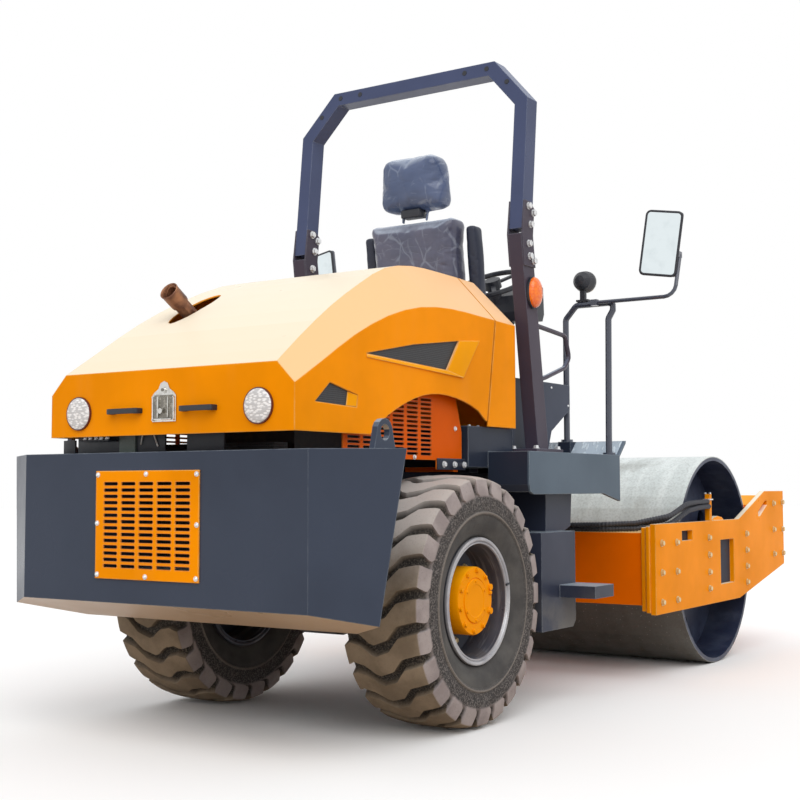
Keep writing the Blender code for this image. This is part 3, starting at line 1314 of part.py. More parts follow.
def seat_base():
    """The seat's pedestal with its suspension box and pan."""
    x_low, x_high = SEAT_X
    half = PEDESTAL_HALF_WIDTH
    outline = [(x_low + 0.06, PLATFORM_TOP_Z + SEAT_GAP), (x_high - 0.04, PLATFORM_TOP_Z + SEAT_GAP),
               (x_high - 0.08, 1.480), (x_low + 0.04, 1.480)]
    obj = prism("seat_base", outline, "Y", -half, half)
    bellows = box("bellows", (x_low + 0.05, x_high - 0.10), (-half + 0.02, half - 0.02), (1.470, 1.650))
    pan = box("pan", (x_low + 0.0, x_high - 0.02), (-SEAT_HALF_WIDTH + 0.02, SEAT_HALF_WIDTH - 0.02),
              (1.640, CUSHION_Z[0] - SEAT_GAP))
    seat_low = BACK_FOOT_X - SEAT_GAP
    rise = 0.300
    back = [
        (BACK_FOOT_X - 0.045, 1.640), (x_low + 0.020, 1.645), (x_low + 0.020, 1.685), (x_low - 0.002, 1.687),
        (seat_low, BACK_Z[0] - 0.010), (seat_low, BACK_Z[0]), (seat_low - rise * BACK_LEAN, BACK_Z[0] + rise),
        (seat_low - 0.030 - rise * BACK_LEAN, BACK_Z[0] + rise), (BACK_FOOT_X - 0.045, BACK_Z[0]),
    ]
    spine = prism("spine", back, "Y", -0.12, 0.12)
    return fuse(obj, bellows, pan, spine)


def cushion(name, x, y, z, radius, lean=0.0):
    """A padded block with rounded edges, sheared back with its height."""
    obj = box(name, x, y, z, make_material("seat vinyl", VINYL, 0.6))
    rounded(obj, radius, 2)
    for vertex in obj.data.vertices:
        vertex.co.x -= lean * (vertex.co.z - z[0])
    return obj


def seat_parts():
    """The seat cushion, backrest, headrest and the two folded-up armrests."""
    half = SEAT_HALF_WIDTH
    back_half = BACK_HALF_WIDTH
    parts = [
        cushion("seat_cushion", SEAT_X, (-half, half), CUSHION_Z, 0.030),
        cushion("seat_back", (BACK_FOOT_X, BACK_FOOT_X + BACK_THICKNESS), (-back_half, back_half), BACK_Z, 0.035,
                BACK_LEAN),
    ]
    rear = BACK_FOOT_X - BACK_LEAN * (HEADREST_Z[0] - BACK_Z[0])
    head = cushion("headrest", (rear, rear + HEADREST_THICKNESS), (-HEADREST_HALF_WIDTH, HEADREST_HALF_WIDTH),
                   HEADREST_Z, 0.045, BACK_LEAN * 0.4)
    middle = rear + BACK_THICKNESS / 2.0
    for y in (-HEADREST_POST_Y, HEADREST_POST_Y):
        fuse(head, cylinder("post", "Z", (middle, y, 0.0), HEADREST_POST_RADIUS, BACK_Z[1] + SEAT_GAP,
                            HEADREST_Z[0] + 0.03, segments=10))
    parts.append(head)
    for side in (-1.0, 1.0):
        y = sorted((side * ARMREST_Y[0], side * ARMREST_Y[1]))
        x = BACK_FOOT_X + 0.045
        arm = cushion(side_name("armrest", side), (x, x + ARMREST_DEPTH), y, ARMREST_Z, 0.020, BACK_LEAN)
        start, end = sorted((side * (back_half + SEAT_GAP), side * (ARMREST_Y[0] + 0.020)))
        pivot_z = ARMREST_Z[0] + 0.050
        centre = (x + ARMREST_DEPTH * 0.4 - BACK_LEAN * 0.05, 0.0, pivot_z)
        fuse(arm, cylinder("pivot", "Y", centre, ARMREST_PIVOT_RADIUS, start, end, segments=16))
        parts.append(arm)
    return parts


def side_console(side):
    """The flat console beside the seat, with its slanted lower front corner."""
    foot = PLATFORM_TOP_Z + SEAT_GAP
    outline = [
        (CONSOLE_X[0], foot), (CONSOLE_KNEE_X[0], foot), (CONSOLE_KNEE_X[1], CONSOLE_KNEE_Z[0]),
        (CONSOLE_X[1], CONSOLE_KNEE_Z[1]), (CONSOLE_X[1], CONSOLE_TOP_Z), (CONSOLE_X[0], CONSOLE_TOP_Z),
    ]
    low, high = sorted((side * CONSOLE_Y[0], side * CONSOLE_Y[1]))
    return prism(side_name("side_console", side), outline, "Y", low, high)


def steering_column():
    """The column with its foot, the dashboard pod and the boss under the steering wheel."""
    centre = Vector(STEERING_CENTRE)
    tilt = math.radians(STEERING_TILT)
    y = centre.y
    foot_z = PLATFORM_TOP_Z + SEAT_GAP
    foot_rear, foot_front = COLUMN_FOOT_X
    outline = [
        (foot_rear, foot_z), (foot_front, foot_z), (DASH_X[1] - 0.040, DASH_Z[0] + 0.020),
        (DASH_X[1] - 0.060, DASH_Z[1] - 0.030), (DASH_X[0] + 0.020, DASH_Z[1] - 0.040), (DASH_X[0], DASH_Z[0] + 0.010),
    ]
    obj = prism("steering_column", outline, "Y", y - COLUMN_HALF_WIDTH, y + COLUMN_HALF_WIDTH, black_plastic())
    dash_outline = [
        (DASH_X[0] + 0.02, DASH_Z[0]), (DASH_X[1] - 0.02, DASH_Z[0]), (DASH_X[1], DASH_Z[0] + 0.04),
        (DASH_X[1] - 0.01, DASH_Z[1] + 0.02), (DASH_X[0] + 0.03, DASH_Z[1] - 0.025), (DASH_X[0], DASH_Z[0] + 0.05),
    ]
    fuse(obj, prism("dash", dash_outline, "Y", y - DASH_HALF_WIDTH, y + DASH_HALF_WIDTH))
    boss = cylinder("boss", "Z", (0.0, 0.0, 0.0), 0.035, -0.110, -STEERING_HUB_DROP - SEAT_GAP, segments=16)
    boss.data.transform(Matrix.Translation(centre) @ Matrix.Rotation(-tilt, 4, "Y"))
    return fuse(obj, boss)


def steering_wheel():
    """The steering wheel: rim, three spokes and hub, turned about its tilted column axis."""
    bm = bmesh.new()
    ring = bmesh.ops.create_circle(bm, cap_ends=False, radius=STEERING_RIM_RADIUS, segments=8)
    turn = Matrix.Translation((STEERING_RADIUS - STEERING_RIM_RADIUS, 0.0, 0.0)) @ Matrix.Rotation(
        math.radians(90.0), 4, "X")
    bmesh.ops.transform(bm, matrix=turn, verts=ring["verts"])
    bmesh.ops.spin(bm, geom=bm.verts[:] + bm.edges[:], cent=(0, 0, 0), axis=(0, 0, 1), angle=math.tau, steps=28,
                   use_merge=True)
    obj = finish("steering_wheel", bm, black_plastic())
    hub = cylinder("hub", "Z", (0.0, 0.0, 0.0), 0.048, -STEERING_HUB_DROP, 0.026, segments=20)
    fuse(obj, hub)
    for angle in (90.0, 210.0, 330.0):
        spoke = box("spoke", (0.02, STEERING_RADIUS - STEERING_RIM_RADIUS), (-0.012, 0.012), (-0.007, 0.006))
        spoke.data.transform(Matrix.Rotation(math.radians(angle), 4, "Z"))
        fuse(obj, spoke)
    obj.data.transform(Matrix.Rotation(-math.radians(STEERING_TILT), 4, "Y"))
    obj.location = STEERING_CENTRE
    return obj


# Handrails, work lamps and mirrors


def handrail(side):
    """A handrail hoop across the platform's front edge, on two flanged feet."""
    inner_x, inner_y = HANDRAIL_INNER
    outer_x, outer_y = HANDRAIL_OUTER
    kink_y, kink_z = HANDRAIL_KINK
    inner_foot = TOE_BOARD_FRONT[1] + SEAT_GAP
    outer_foot = PLATFORM_TOP_Z + SEAT_GAP
    top = HANDRAIL_TOP_Z
    path = bend(
        [(inner_x, side * inner_y, inner_foot), (inner_x, side * inner_y, top - 0.070),
         (HANDRAIL_X, side * (inner_y + 0.070), top), (HANDRAIL_X, side * HANDRAIL_CORNER_Y, top),
         (HANDRAIL_X - 0.006, side * kink_y, kink_z), (outer_x, side * outer_y, outer_foot + 0.10),
         (outer_x, side * outer_y, outer_foot)],
        0.028, 2,
    )
    obj = tube(side_name("handrail", side), path, RAIL_TUBE_RADIUS)
    for x, y, foot in ((inner_x, inner_y, inner_foot), (outer_x, outer_y, outer_foot)):
        flange = cylinder("flange", "Z", (x, side * y, 0.0), HANDRAIL_FLANGE_RADIUS, foot, foot + 0.012, segments=16)
        fuse(obj, flange)
    return obj


def work_lamp(side):
    """A round work lamp that looks forward from its bracket on the handrail's top bar."""
    x, y, z = HANDRAIL_X, side * WORK_LAMP_Y, WORK_LAMP_Z
    radius, depth = WORK_LAMP_RADIUS, WORK_LAMP_DEPTH
    profile = [(-depth * 0.55, 0.0), (-depth * 0.50, radius * 0.45), (-depth * 0.20, radius * 0.85),
               (depth * 0.25, radius), (depth * 0.45, radius), (depth * 0.45, 0.0)]
    obj = lathe(side_name("work_lamp", side), profile, "X", (x, y, z), black_plastic())
    foot = HANDRAIL_TOP_Z + RAIL_TUBE_RADIUS + SEAT_GAP
    base = box("base", (x - 0.016, x + 0.016), (y - 0.035, y + 0.035), (foot, foot + 0.010))
    bracket = box("bracket", (x - 0.012, x + 0.012), (y - 0.014, y + 0.014), (foot + 0.005, z - radius * 0.7))
    return fuse(obj, bracket, base)


def mirror(side):
    """A mirror on its bent arm, clamped to the handrail's top bar."""
    start_y, out_y = MIRROR_ARM_Y
    cx, cy, cz = MIRROR_CENTRE
    x = HANDRAIL_X - RAIL_TUBE_RADIUS - MIRROR_ARM_RADIUS - 0.006
    z = HANDRAIL_TOP_Z + 0.002
    path = bend([(x, side * start_y, z), (x, side * out_y, z), (cx + 0.035, side * (out_y + 0.012), cz - 0.06)],
                0.060, 4)
    obj = tube(side_name("mirror", side), path, MIRROR_ARM_RADIUS)
    grip = HANDRAIL_X - RAIL_TUBE_RADIUS - SEAT_GAP
    clamp = sorted((side * (start_y - 0.010), side * (start_y + MIRROR_CLAMP)))
    fuse(obj, box("clamp", (x - MIRROR_ARM_RADIUS - 0.004, grip), clamp, (z - 0.016, z + 0.016)))
    depth, width, height = MIRROR_SIZE
    head = box("head", (-depth / 2, depth / 2), (-width / 2, width / 2), (-height / 2, height / 2), black_plastic())
    rounded(head, 0.012, 2)
    turn = Matrix.Rotation(-side * math.radians(MIRROR_TURN), 4, "Z")
    tip = Matrix.Rotation(-side * math.radians(MIRROR_TIP), 4, "X")
    head.data.transform(Matrix.Translation((cx, side * cy, cz)) @ turn @ tip)
    fuse(obj, head)
    stem_y = sorted((side * (cy + 0.02), side * (out_y + 0.018)))
    stem = box("stem", (cx, cx + 0.05), stem_y, (cz - 0.075, cz - 0.045))
    return fuse(obj, stem)


# Front frame, drum and hoses


def side_plate_outline():
    return [
        (SIDE_PLATE_REAR_X, SIDE_PLATE_BOTTOM_Z), (SIDE_PLATE_BEND_X, SIDE_PLATE_BOTTOM_Z),
        (NOSE_X, SIDE_PLATE_NOSE_LOW_Z), (NOSE_X, SIDE_PLATE_NOSE_TOP_Z),
        (SIDE_PLATE_SHOULDER_X, SIDE_PLATE_NOSE_TOP_Z), (SIDE_PLATE_BEND_X, SIDE_PLATE_TOP_Z),
        (SIDE_PLATE_REAR_X, SIDE_PLATE_TOP_Z),
    ]


def side_plate(side):
    """A side plate of the front frame, with the carrier in which the drum's trunnion turns."""
    outer = SIDE_PLATE_OUTER_Y
    inner = outer - SIDE_PLATE_THICKNESS
    low, high = sorted((side * inner, side * outer))
    obj = prism(side_name("side_plate", side), side_plate_outline(), "Y", low, high, paint_orange())
    for (x_low, x_high), z in ((PLATE_WINDOW_X, PLATE_WINDOW_Z), (PLATE_SLOT_X, PLATE_SLOT_Z)):
        span = (WHEELBASE + x_low, WHEELBASE + x_high)
        if z == PLATE_SLOT_Z:
            span = (SIDE_PLATE_REAR_X + x_low, SIDE_PLATE_REAR_X + x_high)
        opening = box("window", span, (low - 0.01, high + 0.01), z)
        cut(obj, opening)
    slot = [(WHEELBASE + x, z) for x, z in NOSE_SLOT]
    cut(obj, prism("slot", slot, "Y", low - 0.01, high + 0.01))
    if side < 0.0:
        fuse(obj, box("bracket", BRACKET_X, (low, high), (SIDE_PLATE_TOP_Z - 0.01, BRACKET_TOP_Z)))
    start = DRUM_DISC_Y + RUNNING_GAP
    bore = TRUNNION_RADIUS + PIN_GAP
    profile = [
        (start, bore), (start, CARRIER_RADIUS), (inner - CARRIER_FLANGE, CARRIER_RADIUS),
        (inner - CARRIER_FLANGE, CARRIER_FLANGE_RADIUS), (inner + 0.002, CARRIER_FLANGE_RADIUS),
        (inner + 0.002, 0.0), (TRUNNION_END_Y + PIN_GAP, 0.0), (TRUNNION_END_Y + PIN_GAP, bore),
    ]
    profile = [(side * along, radius) for along, radius in profile]
    carrier = lathe("carrier", profile, "Y", (WHEELBASE, 0.0, DRUM_RADIUS))
    return fuse(obj, carrier)


def yoke_beam():
    """The rear beam of the front frame with the tongue, the cylinder ears and the hose bracket."""
    inner = SIDE_PLATE_OUTER_Y - SIDE_PLATE_THICKNESS - SEAT_GAP
    obj = box("yoke_beam", REAR_BEAM_X, (-inner, inner), REAR_BEAM_Z, paint_orange())
    outline = arc((ARTICULATION_X, 0.0), EAR_RADIUS * 0.9, 90.0, 270.0, 10)
    outline += [(REAR_BEAM_X[0] + 0.01, -0.200), (REAR_BEAM_X[0] + 0.01, 0.200)]
    tongue = prism("tongue", outline, "Z", TONGUE_Z[0], TONGUE_Z[1])
    bore = cylinder("bore", "Z", (ARTICULATION_X, 0.0, 0.0), KINGPIN_RADIUS + PIN_GAP, 0.3, 0.9)
    fuse(obj, tongue)
    cut(obj, bore)
    x, y = CYLINDER_FRONT
    for side in (-1.0, 1.0):
        for low in (CYLINDER_Z - CYLINDER_EYE_RADIUS - 0.004 - CYLINDER_EAR_THICKNESS,
                    CYLINDER_Z + CYLINDER_EYE_RADIUS + 0.004):
            ys = sorted((side * (y - 0.055), side * (y + 0.055)))
            fuse(obj, box("ear", (x - 0.055, REAR_BEAM_X[0] + 0.01), ys, (low, low + CYLINDER_EAR_THICKNESS)))
    return obj


def hose_bundle():
    """The wrapped hoses from the rear beam along the right side plate to their bracket."""
    radius = HOSE_RADIUS
    return tube("hose_bundle", bend(HOSE_PATH, 0.120, 4), radius, None, 2)


def front_beam():
    """The front beam that joins the side plates ahead of the drum."""
    inner = SIDE_PLATE_OUTER_Y - SIDE_PLATE_THICKNESS - SEAT_GAP
    low, high = FRONT_BEAM_Z
    outline = [
        (FRONT_BEAM_X[0], low + 0.06), (FRONT_BEAM_X[0] + 0.10, low), (FRONT_BEAM_X[1], low + 0.02),
        (FRONT_BEAM_X[1], high), (FRONT_BEAM_X[0] + 0.06, high), (FRONT_BEAM_X[0], high - 0.06),
    ]
    return prism("front_beam", outline, "Y", -inner, inner, paint_orange())


def drum():
    """The vibrating drum: a rolled shell with two set-in discs, their ports and the trunnions."""
    half = DRUM_WIDTH / 2.0
    disc = DRUM_DISC_Y
    inner = DRUM_RADIUS - DRUM_SHELL
    right_end = [(half, DRUM_RADIUS), (half, inner), (disc, inner), (disc, TRUNNION_RADIUS),
                 (TRUNNION_END_Y, TRUNNION_RADIUS), (TRUNNION_END_Y, 0.0)]
    profile = right_end + [(-along, radius) for along, radius in reversed(right_end)]
    obj = lathe("drum", profile, "Y", (WHEELBASE, 0.0, DRUM_RADIUS), bare_steel(), DRUM_SEGMENTS)
    room = disc - DRUM_DISC_THICKNESS
    hollow = cylinder("hollow", "Y", (WHEELBASE, 0.0, DRUM_RADIUS), inner, -room, room,
                      segments=DRUM_SEGMENTS)
    for index in range(DRUM_PORT_COUNT):
        angle = math.tau * (index + 0.5) / DRUM_PORT_COUNT + math.pi / DRUM_SEGMENTS
        place = (WHEELBASE + DRUM_PORT_CIRCLE * math.cos(angle), 0.0, DRUM_RADIUS + DRUM_PORT_CIRCLE * math.sin(angle))
        fuse(hollow, cylinder("port", "Y", place, DRUM_PORT_RADIUS, -disc - 0.02, disc + 0.02, segments=12))
    cut(obj, hollow)
    return place_along(obj, (WHEELBASE, 0.0, DRUM_RADIUS))


MODEL = (
    chassis, counterweight, radiator_grille, radiator, engine_block, cowl, exhaust_pipe, rear_axle, platform,
    rops_hoop, seat_base, seat_parts, steering_column, steering_wheel, hood_shell, hood_latch, hood_handles,
    yoke_beam, hose_bundle, front_beam, drum,
)
BOTH_SIDES = (
    side_panel, side_tank, rops_post, indicator, side_console, handrail, work_lamp, mirror, tyre, wheel_rim,
    hood_mesh, tail_lamp, side_plate, steering_barrel, steering_rod,
)


def place_model():
    """Move the machine so that the origin lies at the middle of its length, on the ground."""
    middle = (TAIL_X - SEAT_GAP - GRILLE_THICKNESS + NOSE_X) / 2.0
    for obj in bpy.context.scene.objects:
        obj.location.x -= middle


def main():
    for obj in list(bpy.data.objects):
        bpy.data.objects.remove(obj)
    for build in MODEL:
        build()
    for build in BOTH_SIDES:
        for side in (-1.0, 1.0):
            build(side)
    place_model()


main()
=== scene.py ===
"""Looks of the single-drum road roller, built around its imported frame.

Sizes are in metres in the machine's design frame: X forward, Y to the left, Z up, with the origin
on the ground under the rear axle. A finished piece is shifted along X by MIDDLE, so that it lies in
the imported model's own frame, where the origin is at the middle of the machine's length.
"""

import json
import logging
import math
from collections.abc import Callable, Iterable, Sequence
from dataclasses import dataclass
from enum import Enum

import bmesh
import bpy
from mathutils import Matrix, Vector, noise

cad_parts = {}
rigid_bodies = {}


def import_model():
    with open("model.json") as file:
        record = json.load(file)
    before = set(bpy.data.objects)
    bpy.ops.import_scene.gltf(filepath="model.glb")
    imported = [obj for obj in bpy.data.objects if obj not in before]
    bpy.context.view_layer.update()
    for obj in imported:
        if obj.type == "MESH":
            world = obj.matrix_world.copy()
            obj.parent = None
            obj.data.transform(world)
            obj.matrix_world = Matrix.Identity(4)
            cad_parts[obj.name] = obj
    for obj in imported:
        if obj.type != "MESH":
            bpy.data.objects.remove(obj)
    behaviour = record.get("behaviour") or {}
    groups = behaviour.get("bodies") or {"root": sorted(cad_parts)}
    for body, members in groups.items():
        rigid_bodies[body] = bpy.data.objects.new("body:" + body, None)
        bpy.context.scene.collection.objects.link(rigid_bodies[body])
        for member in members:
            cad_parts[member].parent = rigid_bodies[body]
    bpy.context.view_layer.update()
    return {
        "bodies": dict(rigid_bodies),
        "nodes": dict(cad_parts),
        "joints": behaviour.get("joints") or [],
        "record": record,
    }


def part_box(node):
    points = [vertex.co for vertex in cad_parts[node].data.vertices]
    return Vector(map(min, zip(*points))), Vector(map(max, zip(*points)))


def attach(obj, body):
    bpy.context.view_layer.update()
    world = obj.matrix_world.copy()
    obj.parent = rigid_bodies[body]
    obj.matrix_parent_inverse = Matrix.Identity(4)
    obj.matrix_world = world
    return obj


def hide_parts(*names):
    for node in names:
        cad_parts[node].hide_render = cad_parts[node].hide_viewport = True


LOG = logging.getLogger("roller")
MIDDLE = 1.31935
SIDES = (-1.0, 1.0)
ORIGIN = (0.0, 0.0, 0.0)
AHEAD = (1.0, 0.0, 0.0)
BACK = (-1.0, 0.0, 0.0)
LEFT = (0.0, 1.0, 0.0)
UP = (0.0, 0.0, 1.0)

Colour = tuple[float, float, float]
Point = Sequence[float]


class Body(Enum):
    """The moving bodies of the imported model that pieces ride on."""

    REAR = "rear_frame"
    HOOD = "hood"
    FRONT = "front_frame"
    WHEEL_RIGHT = "wheel_right"
    WHEEL_LEFT = "wheel_left"


class Slot(Enum):
    """The material slots of the record."""

    ORANGE = "orange_paint"
    SLATE = "slate_paint"
    PLASTIC = "black_plastic"
    STEEL = "bare_steel"
    SILVER = "silver_paint"
    RUBBER = "tyre_rubber"
    HOSE = "hose_rubber"
    CHROME = "chrome"
    EXHAUST = "exhaust_steel"
    AMBER = "amber_lens"
    LENS = "lamp_lens"
    VINYL = "seat_vinyl"


def side_name(stem: str, side: float) -> str:
    """Name a piece after its side of the machine."""
    return f"{stem}_{'left' if side > 0 else 'right'}"


def outward(side: float) -> Point:
    """The direction away from the machine's middle on one side."""
    return (0.0, side, 0.0)


def wheel_body(side: float) -> Body:
    """The body of one side's wheel."""
    return Body.WHEEL_LEFT if side > 0 else Body.WHEEL_RIGHT


def clamped(value: float) -> float:
    """A value held between 0 and 1."""
    return min(max(value, 0.0), 1.0)


def eased(value: float) -> float:
    """A value held between 0 and 1, with a soft start and end."""
    share = clamped(value)
    return share * share * (3.0 - 2.0 * share)


def around(count: int, radius: float, start: float = 0.0) -> list[tuple[float, float]]:
    """Places spaced evenly round a circle, from a start angle in degrees."""
    angles = (math.radians(start + 360.0 * index / count) for index in range(count))
    return [(radius * math.cos(angle), radius * math.sin(angle)) for angle in angles]


def oblong(half_width: float, half_height: float, corner: float, steps: int) -> list[tuple[float, float]]:
    """The outline of an oblong with round corners, each of them in so many steps.

    Args:
        half_width: Half the width.
        half_height: Half the height.
        corner: The corners' radius.
        steps: The steps in each corner.

    Returns:
        The outline's points.
    """
    points = []
    for across, upward, start in ((1, 1, 0.0), (-1, 1, 90.0), (-1, -1, 180.0), (1, -1, 270.0)):
        for step in range(steps + 1):
            angle = math.radians(start + 90.0 / steps * step)
            points.append((across * (half_width - corner) + corner * math.cos(angle),
                           upward * (half_height - corner) + corner * math.sin(angle)))
    return points


# Node trees


class Tree:
    """Places and joins nodes in one node tree.

    Args:
        tree: The node tree to work in.
    """

    def __init__(self, tree: bpy.types.NodeTree) -> None:
        """Keep the tree."""
        self.tree = tree

    def node(self, kind: str, **settings: object) -> bpy.types.Node:
        """Add a shader node of a kind, with its settings.

        Args:
            kind: The node's type without its ShaderNode prefix.
            settings: The node's own settings.

        Returns:
            The node.
        """
        made = self.tree.nodes.new("ShaderNode" + kind)
        for key, value in settings.items():
            setattr(made, key, value)
        return made

    def put(self, socket: bpy.types.NodeSocket, value: object) -> None:
        """Feed a socket from another socket or set its value.

        Args:
            socket: The socket to feed.
            value: A socket or a plain value.
        """
        if isinstance(value, bpy.types.NodeSocket):
            self.tree.links.new(value, socket)
        elif isinstance(value, tuple) and len(value) == 3 and socket.type == "RGBA":
            socket.default_value = (*value, 1.0)
        else:
            socket.default_value = value

    def maths(self, operation: str, first: object, second: object = 0.0, clamp: bool = False) -> object:
        """Join two values by a Math node.

        Args:
            operation: The Math node's operation.
            first: The first value or socket.
            second: The second value or socket.
            clamp: Whether to hold it between 0 and 1.

        Returns:
            The result's socket.
        """
        made = self.node("Math", operation=operation, use_clamp=clamp)
        self.put(made.inputs[0], first)
        self.put(made.inputs[1], second)
        return made.outputs[0]

    def times(self, first: object, second: object, clamp: bool = False) -> object:
        """Multiply two values."""
        return self.maths("MULTIPLY", first, second, clamp)

    def plus(self, first: object, second: object) -> object:
        """Add two values."""
        return self.maths("ADD", first, second)

    def mix(self, share: object, first: object, second: object) -> object:
        """Mix two colours by a share.

        Args:
            share: How much of the second shows.
            first: The first value or socket.
            second: The second value or socket.

        Returns:
            The colour's socket.
        """
        made = self.node("Mix", data_type="RGBA", clamp_factor=True)
        self.put(made.inputs[0], share)
        self.put(made.inputs[6], first)
        self.put(made.inputs[7], second)
        return made.outputs[2]

    def span(self, value: object, low: object, high: object, start: object = 0.0,
             end: object = 1.0) -> object:
        """Map a value smoothly from one range to another.

        Args:
            value: The value.
            low: Where the first range starts.
            high: Where it ends.
            start: The result at low.
            end: The result at high.

        Returns:
            The result's socket.
        """
        made = self.node("MapRange", interpolation_type="SMOOTHSTEP")
        for index, item in enumerate((value, low, high, start, end)):
            self.put(made.inputs[index], item)
        return made.outputs[0]

    def noise(self, where: object, scale: object, detail: float = 3.0, rough: float = 0.55) -> object:
        """A noise value from 0 to 1.

        Args:
            where: The coordinates.
            scale: How fine the pattern is.
            detail: The octaves.
            rough: The weight of the finer octaves.

        Returns:
            The value's socket.
        """
        made = self.node("TexNoise")
        self.put(made.inputs["Vector"], where)
        self.put(made.inputs["Scale"], scale)
        made.inputs["Detail"].default_value = detail
        made.inputs["Roughness"].default_value = rough
        return made.outputs["Fac"]

    def cells(self, where: object, scale: object, feature: str = "F1") -> object:
        """The distance value of a cell pattern.

        Args:
            where: The coordinates.
            scale: How fine the pattern is.
            feature: What is measured in each cell.

        Returns:
            The distance's socket.
        """
        made = self.node("TexVoronoi", feature=feature)
        self.put(made.inputs["Vector"], where)
        self.put(made.inputs["Scale"], scale)
        return made.outputs["Distance"]

    def stretched(self, where: object, scale: Point, move: Point = ORIGIN) -> object:
        """Coordinates moved and then stretched on each axis.

        Args:
            where: The coordinates.
            scale: The stretch on each axis.
            move: The shift before it.

        Returns:
            The coordinates' socket.
        """
        made = self.node("Mapping")
        self.put(made.inputs["Vector"], where)
        made.inputs["Location"].default_value = move
        made.inputs["Scale"].default_value = scale
        return made.outputs[0]

    def parts(self, vector: object) -> tuple[object, object, object]:
        """The three parts of a vector.

        Args:
            vector: The vector.

        Returns:
            The sockets of X, Y and Z.
        """
        made = self.node("SeparateXYZ")
        self.put(made.inputs[0], vector)
        return made.outputs[0], made.outputs[1], made.outputs[2]

    def place(self) -> tuple[object, object]:
        """Object coordinates and the object's own normal."""
        made = self.node("TexCoord")
        return made.outputs["Object"], made.outputs["Normal"]


class GroupTree(Tree):
    """The tree of a shader group, with its two end nodes.

    Args:
        tree: The group's node tree.
    """

    def __init__(self, tree: bpy.types.NodeTree) -> None:
        """Add the group's two end nodes."""
        super().__init__(tree)
        self.enter = tree.nodes.new("NodeGroupInput")
        self.leave = tree.nodes.new("NodeGroupOutput")


